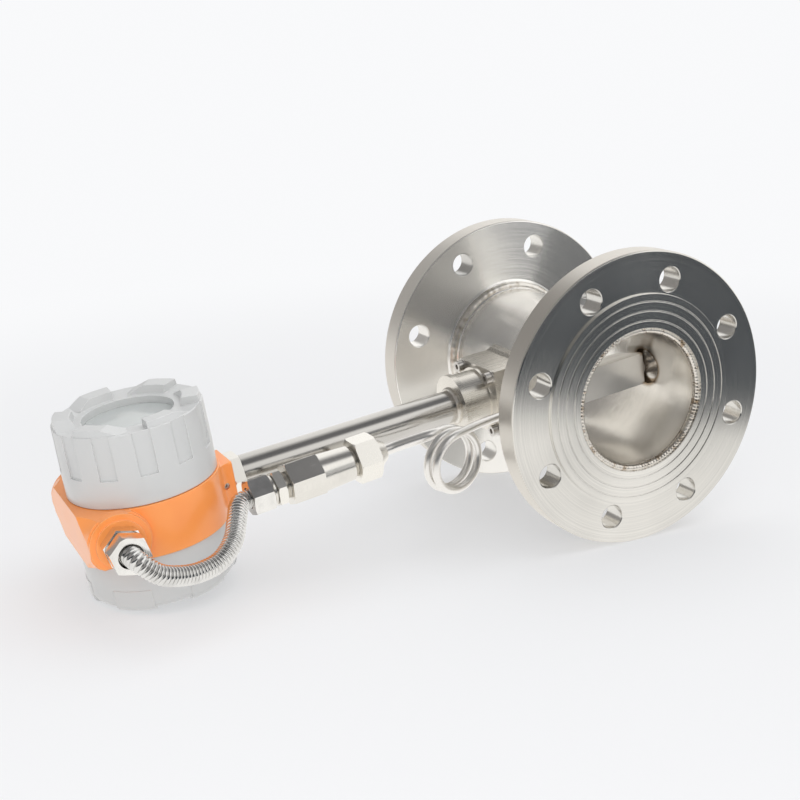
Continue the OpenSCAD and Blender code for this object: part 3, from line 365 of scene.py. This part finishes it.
def smooth_route(points, steps):
    """The smooth curve through all points, in a number of steps between each two."""
    last = len(points) - 1
    curve = []
    for i in range(last):
        four = points[max(i - 1, 0)], points[i], points[i + 1], points[min(i + 2, last)]
        curve += [catmull(*four, k / steps) for k in range(steps)]
    return curve + [points[last]]


def route_length(route):
    """Length along the points of a route."""
    return sum((b - a).length for a, b in zip(route, route[1:]))


def even_route(curve, count):
    """The curve's points again, at count equal distances."""
    runs = [0.0]
    for a, b in zip(curve, curve[1:]):
        runs.append(runs[-1] + (b - a).length)
    route = []
    place = 0
    for i in range(count + 1):
        distance = runs[-1] * i / count
        while place < len(runs) - 2 and runs[place + 1] < distance:
            place += 1
        share = (distance - runs[place]) / (runs[place + 1] - runs[place])
        route.append(curve[place].lerp(curve[place + 1], share))
    return route


def sweep(route, radii, sides, start_side):
    """A closed tube along a route: a circle's edges are extruded from each point to the next."""
    mesh = bmesh.new()
    ring = bmesh.ops.create_circle(mesh, cap_ends=True, segments=sides, radius=1.0)["verts"]
    edges = mesh.edges[:]
    last = len(route) - 1
    side = Vector(start_side)
    placed = Matrix.Identity(4)
    for i, (middle, radius) in enumerate(zip(route, radii)):
        way = (route[min(i + 1, last)] - route[max(i - 1, 0)]).normalized()
        side = (side - way * side.dot(way)).normalized()
        turn = Matrix((side, way.cross(side), way)).transposed().to_4x4()
        wanted = Matrix.Translation(middle) @ turn @ Matrix.Diagonal((radius, radius, radius, 1.0))
        if i:
            made = bmesh.ops.extrude_edge_only(mesh, edges=edges)["geom"]
            ring = [item for item in made if isinstance(item, bmesh.types.BMVert)]
            edges = [item for item in made if isinstance(item, bmesh.types.BMEdge)
                     and item.verts[0] in ring and item.verts[1] in ring]
        bmesh.ops.transform(mesh, matrix=wanted @ placed.inverted(), verts=ring)
        placed = wanted
    bmesh.ops.contextual_create(mesh, geom=edges)
    return mesh


def plan_square(half, steps):
    """A square in plan about the stem's axis, closed by meeting its own start."""
    corners = [(-half, -half), (half, -half), (half, half), (-half, half), (-half, -half)]
    sides = [(a[0] + (b[0] - a[0]) * i / steps, a[1] + (b[1] - a[1]) * i / steps)
             for a, b in zip(corners, corners[1:]) for i in range(steps)]
    return sides + corners[:1]


def plan_circle(x, y, radius, steps):
    """A circle in plan, closed by meeting its own start."""
    turns = [math.tau * i / steps for i in range(steps + 1)]
    return [(x + radius * math.cos(turn), y + radius * math.sin(turn)) for turn in turns]


def draped(outline, radius, way):
    """Points of a plan outline laid on a tube about the X axis, on its upper or lower side."""
    return [Vector((x, y, way * math.sqrt(radius * radius - y * y))) for x, y in outline]


def rippled_sweep(route, radius, pitch, swell):
    """A weld bead along a route: a thin tube whose radius swells once for each ripple."""
    route = even_route(route, round(RINGS_PER_RIPPLE * route_length(route) / pitch))
    radii = []
    for i in range(len(route)):
        ripple = math.sin(math.pi * (i % RINGS_PER_RIPPLE) / RINGS_PER_RIPPLE)
        unsteady = math.sin(0.37 * i)
        radii.append(radius * (0.92 + swell * ripple + 0.03 * unsteady))
    return sweep(route, radii, BEAD_SIDES, (0.577, 0.577, 0.577))


def ring_route(radius, place, way, steps=180):
    """A circle about an axis, closed by meeting its own start."""
    turn = Matrix.Translation(place) @ axis_turn(way)
    angles = [math.tau * i / steps for i in range(steps + 1)]
    return [turn @ (radius * Vector((math.cos(angle), math.sin(angle), 0.0))) for angle in angles]


# Sizes of the meter: from the boxes of its nodes, and places inside them as in the part's source

TUBE_WALL = 4 * MM
PLUG_X = -42 * MM
BAR_END = 46 * MM
tube_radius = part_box("meter_tube")[1][2]
bore_radius = tube_radius - TUBE_WALL
face_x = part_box("inlet_flange")[0][0]
seat_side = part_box("sensor_seat")[1][0]
bonnet_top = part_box("bonnet")[1][2]
drum_z = 347 * MM
drum_middle = (0.0, 0.0, drum_z)
sensor_foot = point(-42, 0.5, 191)
sensor_way = Vector((0.0, math.sin(math.radians(1.5)), math.cos(math.radians(1.5))))


# Steel finishes

HEAT_TINT = (0.33, 0.25, 0.17)
FLANGE_RADIUS = 110 * MM


def steel(name, axis, middle, grain, rough, light, dark, depth=0.02):
    """Bare steel with its tool marks: turned rings about an axis, or fine lines along it."""
    paint = Finish(name)
    along, across, rise, radius = paint.around(axis, middle)
    if grain == "turned":
        lines = paint.noise(paint.vector(along * 2200.0, radius * 2200.0, 0.0), 3.0, 0.6)
    else:
        lines = paint.noise(paint.vector(along * 22.0, across * 1700.0, rise * 1700.0), 3.0, 0.6)
    cloud = paint.clouds(26.0)
    colour = paint.mix(dark, light, (lines * 0.55 + cloud * 0.75).step(0.35, 0.95))
    uneven = lines * 0.16 + cloud * 0.12 + (rough - 0.14)
    return paint.surface(colour, uneven, 1.0, paint.bump(lines, depth * MM))


def turned_flange(name, feed_slope, metallic, rough, painted_sheen):
    """Faced stainless flange: fine rings tip the normal, and four wedges of painted sheen, light
    and dark by the angle round the axis, are painted into its colour; the rim is matte.
    """
    paint = Finish(name)
    along, across, rise, radius = paint.around("x", (0.0, 0.0, 0.0))
    rings = paint.noise(paint.vector(along * 900.0, radius * 1500.0, 0.0), 3.0, 0.65)
    feed = paint.noise(paint.vector(along * 6000.0, radius * 9000.0, 0.0), 1.0)
    scratches = paint.noise(paint.vector(across * 60.0, rise * 900.0, along * 60.0), 2.0)
    cloud = paint.clouds(14.0)
    rim = radius.step(FLANGE_RADIUS - 0.8 * MM, FLANGE_RADIUS - 0.2 * MM)
    # Painted sheen: four wedges by the angle round the axis stand in for the highlights of the
    # turned face.
    twice = (across * across - rise * rise) / (radius * radius)
    skew = across * rise * 2.0 / (radius * radius)
    sheen_wedges = (twice * twice - skew * skew) * 0.86 + twice * skew * 1.02
    tone = rings * 0.6 + cloud * 0.6 + sheen_wedges * painted_sheen
    face = paint.mix((0.62, 0.61, 0.585), (0.82, 0.805, 0.77), tone.step(0.35, 0.85))
    # Painted shade in the dark wedges, painted highlight in the light ones.
    face = paint.mix(face, (0.47, 0.465, 0.45), sheen_wedges.step(0.2, -0.9) * painted_sheen)
    face = paint.mix(face, (0.98, 0.965, 0.935), sheen_wedges.step(-0.1, 0.7) * painted_sheen)
    colour = paint.mix(face, (0.72, 0.69, 0.64), rim)
    uneven = rings * 0.10 + scratches * 0.06 + cloud * 0.06 + rim * 0.20 + rough
    outwards = paint.vector(0.0, across / radius, rise / radius)
    normal = paint.grooved(outwards, (feed - 0.5) * (1.0 - rim) * feed_slope, 0.5 * MM)
    return paint.surface(colour, uneven, metallic, paint.bump(rings, 0.012 * MM, 1.0, normal))


def weld_steel(name, tint, light, rough, depth):
    """Weld bead: bright crests, straw and brown tint in the hollows."""
    paint = Finish(name)
    cloud = paint.clouds(160.0, 3.0)
    fine = paint.clouds(1500.0)
    colour = paint.mix(tint, light, cloud.step(0.25, 0.55))
    return paint.surface(colour, cloud * 0.2 + rough, 1.0, paint.bump(fine, depth * MM))


def bore_steel():
    """Meter tube and bar: ground round the tube, brown with heat at the welds and the plug."""
    paint = Finish("bore_steel")
    along, across, rise, radius = paint.around("x", (0.0, 0.0, 0.0))
    lines = paint.noise(paint.vector(along * 2000.0, across * 30.0, rise * 30.0), 3.0, 0.6)
    grit = paint.noise(paint.vector(along * 9000.0, across * 200.0, rise * 200.0), 1.0)
    cloud = paint.clouds(22.0)
    bands = paint.noise(paint.vector(along * 70.0, across * 8.0, rise * 8.0), 2.0)
    tone = (lines * 0.3 + cloud * 0.5 + bands * 0.45).step(0.35, 0.90)
    colour = paint.mix((0.62, 0.595, 0.55), (0.88, 0.855, 0.81), tone)
    ends = along.math("ABSOLUTE").step(90.0 * MM, 98.5 * MM) * (cloud * 0.8 + 0.1)
    side = along - PLUG_X
    plug = (side * side + across * across).math("SQRT")
    ring = plug.step(10.5 * MM, 12.5 * MM) * (1.0 - plug.step(14 * MM, 18 * MM))
    ring = ring + (1.0 - plug.step(4 * MM, 12 * MM)) * 0.4
    tint = (ends * 0.6 + ring * (1.0 - rise.step(-44 * MM, -40 * MM))).held()
    outside = radius.step(BAR_END - 0.5 * MM, BAR_END + 0.5 * MM)
    colour = paint.mix(paint.mix(colour, (0.98, 0.96, 0.925), outside * 0.5), HEAT_TINT, tint)
    rough = lines * 0.10 + cloud * 0.10 + (1.0 - outside) * 0.14 + 0.10
    normal = paint.grooved((1.0, 0.0, 0.0), (grit - 0.5) * (1.1 - outside * 0.85), 0.4 * MM)
    shell = radius.step(bore_radius + 1.5 * MM, bore_radius + 2.5 * MM)
    metallic = outside * 0.28 - shell * 0.13 + 0.67
    return paint.surface(colour, rough, metallic, paint.bump(lines, 0.008 * MM, 1.0, normal))


def bright_chrome(name, light, dark, rough):
    """Plated hose and fittings: very smooth, with faint clouding."""
    paint = Finish(name)
    cloud = paint.clouds(90.0)
    colour = paint.mix(dark, light, cloud.step(0.3, 0.6))
    uneven = cloud * 0.08 + rough
    return paint.surface(colour, uneven, 1.0, paint.bump(paint.clouds(500.0), 0.004 * MM))


# Coatings, glass and plastics

COAT_ROUGHNESS = 0.12
PEEL_DEPTH = 0.05 * MM
FILM_SHARE = 0.55
THREAD_PITCH = 2 * MM


def coating(name, colour, worn, edge, rough):
    """Baked coating on a casting: slight orange peel, soft clouding and rounded edges with a
    painted highlight along them.
    """
    paint = Finish(name)
    cloud = paint.clouds(30.0)
    tone = paint.mix(worn, colour, cloud.step(0.2, 0.5))
    rounded = paint.round_edges(0.7 * MM)
    flat = paint.node("ShaderNodeNewGeometry", out="Normal")
    turned = paint.node("ShaderNodeVectorMath", {"operation": "DOT_PRODUCT"},
                        {0: rounded, 1: flat}, 1)
    # Painted highlight: the paler edge colour is mixed in where the rounded normal turns from the
    # flat one.
    tone = paint.mix(tone, edge, (1.0 - turned).step(0.01, 0.15) * 0.7)
    skin = paint.clouds(620.0, 1.0)
    return paint, tone, cloud * 0.10 + rough, paint.bump(skin, PEEL_DEPTH, 1.0, rounded)


def orange_coating():
    """The housing: orange outside, and bare machined rings with a thread under the covers."""
    # The third colour is the painted highlight on the rounded edges.
    paint, tone, rough, normal = coating("orange_coating", (0.98, 0.335, 0.082),
                                         (0.95, 0.305, 0.072), (1.0, 0.56, 0.26), 0.28)
    along, _, _, radius = paint.around("y", drum_middle)
    depth = along.math("ABSOLUTE")
    ring = depth.step(18.6 * MM, 18.8 * MM) * (1.0 - radius.step(46.4 * MM, 46.8 * MM))
    inside = (1.0 - radius.step(41.5 * MM, 41.7 * MM)) * depth.step(2.5 * MM, 2.9 * MM)
    bare = (ring + inside).held()
    thread = (along * (math.tau / THREAD_PITCH)).math("SINE") * 0.5 + 0.5
    colour = paint.mix(tone, (0.66, 0.66, 0.67), ring)
    colour = paint.mix(colour, (0.82, 0.80, 0.75), inside)
    normal = paint.bump(thread * ring, 0.5 * MM, 1.0, normal)
    coat = {"Coat Weight": (1.0 - bare) * 0.35, "Coat Roughness": COAT_ROUGHNESS}
    return paint.surface(colour, rough, ring, normal, coat)


def grey_coating():
    """The two covers."""
    # The third colour is the painted highlight on the rounded edges.
    paint, tone, rough, normal = coating("grey_coating", (0.59, 0.595, 0.59), (0.55, 0.555, 0.55),
                                         (0.90, 0.90, 0.89), 0.30)
    coat = {"Coat Weight": 0.22, "Coat Roughness": COAT_ROUGHNESS}
    return paint.surface(tone, rough, 0.0, normal, coat)


def clear_glass():
    """Window pane: clear under a thin film, with the room mirrored on it by the angle of view."""
    paint = Finish("clear_glass")
    clear = paint.node("ShaderNodeBsdfTransparent", None, {"Color": (0.90, 0.94, 0.93)})
    gloss = paint.node("ShaderNodeBsdfPrincipled", None, {
        "Base Color": (0.94, 0.96, 0.96), "Roughness": paint.clouds(40.0) * 0.05 + 0.03,
        "Metallic": 1.0})
    mirror = paint.node("ShaderNodeFresnel", None, {"IOR": 1.5})
    outside = 1.0 - paint.node("ShaderNodeNewGeometry", out="Backfacing")
    both_faces = mirror * 2.0 / (mirror + 1.0) * outside
    film = paint.node("ShaderNodeBsdfPrincipled", None, {
        "Base Color": paint.mix((0.84, 0.87, 0.86), (0.90, 0.93, 0.92), paint.clouds(50.0)),
        "Roughness": 0.35})
    pane = paint.node("ShaderNodeMixShader", None, {0: FILM_SHARE, 1: clear, 2: film})
    return paint.end(paint.node("ShaderNodeMixShader", None, {0: both_faces, 1: pane, 2: gloss}))


def plastic(name, colour, second, rough):
    """Moulded plastic or rubber: fine grain and slight clouding."""
    paint = Finish(name)
    cloud = paint.clouds(60.0)
    tone = paint.mix(second, colour, cloud.step(0.3, 0.6))
    normal = paint.bump(paint.clouds(900.0), 0.03 * MM, 1.0, paint.round_edges(0.25 * MM))
    return paint.surface(tone, cloud * 0.12 + rough, 0.0, normal)


def circuit_board():
    """Green board with copper tracks under its lacquer."""
    paint = Finish("circuit_board")
    x, _, z = paint.place()
    tracks = paint.node("ShaderNodeTexBrick", {"offset": 0.5}, {
        "Vector": paint.vector(x, z, 0.0), "Color1": (0.0, 0.0, 0.0), "Color2": (0.0, 0.0, 0.0),
        "Mortar": (1.0, 1.0, 1.0), "Scale": 160.0, "Mortar Size": 0.03,
        "Brick Width": 0.7, "Row Height": 0.3})
    colour = paint.mix((0.012, 0.13, 0.05), (0.03, 0.27, 0.10), tracks)
    normal = paint.bump(tracks, 0.03 * MM)
    return paint.surface(colour, paint.clouds(200.0) * 0.1 + 0.3, 0.0, normal, {"Coat Weight": 0.4})


def display_glass():
    """Liquid-crystal display: a plain grey-green field with its darker frame."""
    paint = Finish("display_glass")
    x, _, z = paint.place()
    edge_x = x.math("ABSOLUTE").step(21.5 * MM, 21.8 * MM)
    edge_z = (z - (drum_z + 5 * MM)).math("ABSOLUTE").step(9.6 * MM, 9.9 * MM)
    colour = paint.mix((0.56, 0.62, 0.57), (0.40, 0.43, 0.43), (edge_x + edge_z).held())
    return paint.surface(colour, paint.clouds(120.0) * 0.05 + 0.12, 0.0, None, {"Coat Weight": 0.5})


def brass():
    paint = Finish("brass_posts")
    cloud = paint.clouds(300.0)
    colour = paint.mix((0.50, 0.36, 0.13), (0.80, 0.62, 0.28), cloud)
    return paint.surface(colour, cloud * 0.2 + 0.2, 1.0, paint.bump(cloud, 0.02 * MM))


ORIGIN = (0.0, 0.0, 0.0)
sensor_middle = tuple(sensor_foot)
finishes = {
    "tube": bore_steel(),
    # The last number is the painted sheen: faint on the near flange, strong wedges of painted
    # highlight and painted shade on the far one.
    "near_flange": turned_flange("turned_flange", 0.32, 1.0, 0.09, 0.05),
    "far_flange": turned_flange("satin_flange_painted_sheen", 0.80, 0.77, 0.12, 0.85),
    "block": steel("milled_block", "z", ORIGIN, "lines", 0.28,
                   (0.86, 0.83, 0.77), (0.70, 0.67, 0.62), 0.005),
    "stem": steel("polished_stem", "z", ORIGIN, "lines", 0.19,
                  (0.64, 0.625, 0.60), (0.56, 0.545, 0.52), 0.006),
    "nut": steel("bright_nut", "z", sensor_middle, "turned", 0.30,
                 (0.94, 0.92, 0.88), (0.86, 0.84, 0.79), 0.006),
    "sensor": steel("turned_sensor", "z", sensor_middle, "turned", 0.22,
                    (0.86, 0.84, 0.80), (0.72, 0.70, 0.66), 0.01),
    "pigtail": steel("drawn_tube", "z", ORIGIN, "lines", 0.32,
                     (0.93, 0.915, 0.89), (0.84, 0.825, 0.80), 0.004),
    "screw": steel("plain_screw", "z", ORIGIN, "lines", 0.30,
                   (0.74, 0.72, 0.69), (0.52, 0.50, 0.48)),
    "chrome": bright_chrome("bright_chrome", (0.86, 0.85, 0.83), (0.76, 0.75, 0.73), 0.10),
    "hose": bright_chrome("bright_hose", (0.76, 0.755, 0.745), (0.66, 0.655, 0.645), 0.12),
    "weld": weld_steel("bore_weld", HEAT_TINT, (0.80, 0.76, 0.70), 0.18, 0.05),
    "smooth_weld": weld_steel("smooth_weld", (0.56, 0.50, 0.42), (0.84, 0.81, 0.76), 0.24, 0.01),
    "orange": orange_coating(),
    "grey": grey_coating(),
    "glass": clear_glass(),
    "ring": steel("turned_ring", "y", drum_middle, "turned", 0.34,
                  (0.62, 0.62, 0.63), (0.50, 0.50, 0.51)),
    "seal": plastic("black_seal", (0.020, 0.020, 0.020), (0.035, 0.035, 0.034), 0.50),
    "gasket": plastic("grey_gasket", (0.10, 0.10, 0.10), (0.14, 0.14, 0.13), 0.55),
    "jacket": plastic("black_jacket", (0.03, 0.03, 0.03), (0.045, 0.045, 0.045), 0.45),
    "gland": plastic("dark_gland", (0.050, 0.055, 0.060), (0.075, 0.08, 0.085), 0.36),
    "board": circuit_board(),
    "display": display_glass(),
    "plate": plastic("pale_plate", (0.84, 0.86, 0.85), (0.79, 0.81, 0.80), 0.42),
    "key": plastic("key_cap", (0.17, 0.21, 0.23), (0.22, 0.26, 0.28), 0.40),
    "block_plastic": plastic("green_block", (0.05, 0.26, 0.10), (0.08, 0.32, 0.14), 0.38),
    "brass": brass(),
}

worn_by = {
    "tube": ["meter_tube", "bluff_body", "bar_plug"],
    "near_flange": ["inlet_flange"],
    "far_flange": ["outlet_flange"],
    "block": ["sensor_seat", "bonnet"],
    "stem": ["stem_tube"],
    "nut": ["stem_lock_nut", "union_nut", "sensor_jam_nut"],
    "sensor": ["pressure_sensor", "pressure_tap", "sensor_probe"],
    "screw": ["bonnet_screws", "bonnet_washers", "terminal_screws", "neck_grub_screw"],
    "chrome": ["conduit_gland", "conduit_gland_nut", "conduit_end_nut"],
    "orange": ["housing_body"],
    "grey": ["front_cover", "rear_cover"],
    "glass": ["window_glass"],
    "ring": ["window_ring"],
    "seal": ["front_cover_seal", "rear_cover_seal", "cable_gland_seal"],
    "gasket": ["sensor_gasket"],
    "jacket": ["sensor_lead"],
    "gland": ["cable_gland", "cable_gland_nut"],
    "board": ["display_board", "terminal_board"],
    "display": ["lcd_panel"],
    "plate": ["display_bezel"],
    "key": ["left_key", "middle_key", "right_key"],
    "block_plastic": ["terminal_block"],
    "brass": ["board_posts", "terminal_posts", "ground_screw"],
}


def dress_nodes():
    for finish, names in worn_by.items():
        for name in names:
            node = nodes[name]
            if not node.material_slots:
                node.data.materials.append(finishes[finish])
            for slot in node.material_slots:
                slot.material = finishes[finish]


# Flexible conduit: a corrugated hose with round ridges on the part's own route

CONDUIT_ROUTE = [(-76, 0, 381.5), (-82, -0.2, 381.2), (-88.5, 3.4, 377.8), (-91, 12.8, 368.7),
                 (-88.5, 19.5, 356), (-84.5, 23.4, 341.9), (-79, 23.2, 326.1), (-70, 16.7, 312.4),
                 (-58, 8, 303.5), (-48, 3.5, 297.5), (-43, 3, 291)]
CONDUIT_END = 84.5
RIDGE_PITCH = 2.5 * MM
RINGS_PER_RIDGE = 8
GROOVE_RADIUS = 5.75
RIDGE_HEIGHT = 1.2


def make_conduit():
    end = sensor_foot + sensor_way * CONDUIT_END * MM
    curve = smooth_route([point(*place) for place in CONDUIT_ROUTE] + [end], 16)
    ridges = round(route_length(curve) / RIDGE_PITCH)
    route = even_route(curve, ridges * RINGS_PER_RIDGE)
    rise = [abs(math.sin(math.pi * i / RINGS_PER_RIDGE)) ** 0.7 for i in range(len(route))]
    radii = [(GROOVE_RADIUS + RIDGE_HEIGHT * share) * MM for share in rise]
    hose = add_mesh("conduit_hose", sweep(route, radii, 28, (0.0, 1.0, 0.0)), 75)
    fit(hose, finishes["hose"], "meter", "conduit_chrome", "flexible_conduit")


# Pigtail: a drawn tube with two open loops

LOOP_MIDDLE = point(-56.3, 17.5, 136.4)
LOOP_TURN = math.radians(15)
LOOP_RADIUS = 21.3 * MM
LOOP_WIDE = 1.09
LOOP_COUNT = 2
LOOP_PITCH = 8.8 * MM
LOOP_AXIS = Vector((math.cos(LOOP_TURN), 0.0, math.sin(LOOP_TURN)))
LOOP_SIDE = Vector((-math.sin(LOOP_TURN), 0.0, math.cos(LOOP_TURN)))
LOOP_POINTS = 120
TAP_PLACE = (-50, -1.5)
TAP_TOP = 64
THIN_RADIUS = 3.0
THICKENS_OVER = 8.0


def loop_point(turn):
    across = Vector((0.0, -math.cos(turn), 0.0)) + LOOP_SIDE * LOOP_WIDE * math.sin(turn)
    along = LOOP_AXIS * LOOP_PITCH * (turn / math.tau - LOOP_COUNT / 2)
    return LOOP_MIDDLE + along + across * LOOP_RADIUS


def make_pigtail():
    """From the tap up through the loops to the union, where the tube grows 1 mm thicker."""
    first = loop_point(0.0)
    last = loop_point(math.tau * LOOP_COUNT)
    tap_x, tap_y = TAP_PLACE
    union = [sensor_foot + sensor_way * height * MM for height in (-20, -11, 1.5)]
    union[0] += point(-1.5, -0.7, 0)
    foot = [point(tap_x, tap_y, TAP_TOP - 4), point(tap_x, tap_y, TAP_TOP + 6),
            point(tap_x - 1, tap_y, TAP_TOP + 20), first - LOOP_SIDE * 22 * MM, first]
    head = [last, last + LOOP_SIDE * 12 * MM + point(1, 0, 0), *union]
    lead_in = smooth_route(foot, 8)
    lead_out = smooth_route(head, 8)
    coil = [loop_point(math.tau * LOOP_COUNT * i / LOOP_POINTS) for i in range(LOOP_POINTS + 1)]
    route = lead_in[:-1] + coil + lead_out[1:]
    grows_from = len(route) - len(lead_out)
    growth = [min(1.0, max(0.0, (i - grows_from) / THICKENS_OVER)) for i in range(len(route))]
    radii = [(THIN_RADIUS + share) * MM for share in growth]
    tube = add_mesh("pigtail_bend", sweep(route, radii, 24, (1.0, 0.0, 0.0)), 60)
    fit(tube, finishes["pigtail"], "meter", "pigtail_steel", "pigtail_tube")


# Weld beads

FLANGE_DEPTH = 23.2 * MM
SEAT_STEPS = 16


def make_welds():
    """Beads at the flanges, in the bore, and at the stem's foot, seat, tap and plug."""
    for end, side in (("inlet", -1.0), ("outlet", 1.0)):
        outer_x = side * (-face_x - FLANGE_DEPTH)
        outer = ring_route(tube_radius + 1.7 * MM, (outer_x, 0.0, 0.0), (1, 0, 0))
        add_weld(end + "_flange_weld", outer, 3.8 * MM, 6.0 * MM, 0.05, "smooth_weld")
        inner_x = side * (-face_x - 3.0 * MM)
        inner = ring_route(bore_radius + 2.2 * MM, (inner_x, 0.0, 0.0), (1, 0, 0))
        add_weld(end + "_bore_weld", inner, 2.6 * MM, 2.6 * MM, 0.12, "weld")
    foot = ring_route(13.0 * MM, (0.0, 0.0, bonnet_top - 1.6 * MM), (0, 0, 1), 60)
    add_weld("stem_foot_weld", foot, 1.6 * MM, 1.6 * MM, 0.10, "smooth_weld")
    seat = draped(plan_square(seat_side, SEAT_STEPS), tube_radius + 0.6 * MM, 1.0)
    add_weld("seat_weld", seat, 2.2 * MM, 2.6 * MM, 0.12, "smooth_weld")
    tap_x, tap_y = TAP_PLACE
    for name, x, y, radius, way in (("tap_weld", tap_x * MM, tap_y * MM, 8.6 * MM, 1.0),
                                    ("plug_weld", PLUG_X, 0.0, 19.6 * MM, -1.0)):
        bead = draped(plan_circle(x, y, radius, 60), tube_radius + 0.5 * MM, way)
        add_weld(name, bead, 1.8 * MM, 2.2 * MM, 0.12, "smooth_weld")


def add_weld(name, route, radius, pitch, swell, finish):
    bead = add_mesh(name, rippled_sweep(route, radius, pitch, swell), 50)
    fit(bead, finishes[finish], "meter", "tube_steel")


# Threads that show between the nuts


def make_thread(name, place, way, radius, length, pitch, finish, slot):
    """Ridges of a thread on a plain neck, as one body of revolution with a cone at each flank."""
    inner = radius - 0.6
    count = int(length / pitch)
    profile = [(inner - 1.0, 0.0), (inner, 0.0)]
    for i in range(count):
        profile += [(radius + 0.15, (i + 0.5) * pitch), (inner, (i + 1) * pitch)]
    profile += [(inner - 1.0, count * pitch)]
    thread = add_mesh(name, spin_profile(profile, place, way), 30)
    fit(thread, finishes[finish], "meter", slot)


def make_threads():
    make_thread("gland_thread", point(-66, 0, 381.5), Vector((-1.0, 0.0, 0.0)), 11.2, 3.0, 1.0,
                "chrome", "fitting_chrome")
    for name, height, length, radius in (("nipple_thread", 17.0, 3.0, 10.9),
                                         ("sensor_thread", 68.6, 3.4, 9.4),
                                         ("jam_thread", 78.6, 1.2, 9.4)):
        make_thread(name, sensor_foot + sensor_way * height * MM, sensor_way, radius, length, 0.6,
                    "sensor", "sensor_steel")


make_camera()
make_floor()
make_world()
make_lamps()
dress_nodes()
make_conduit()
make_pigtail()
make_welds()
make_threads()
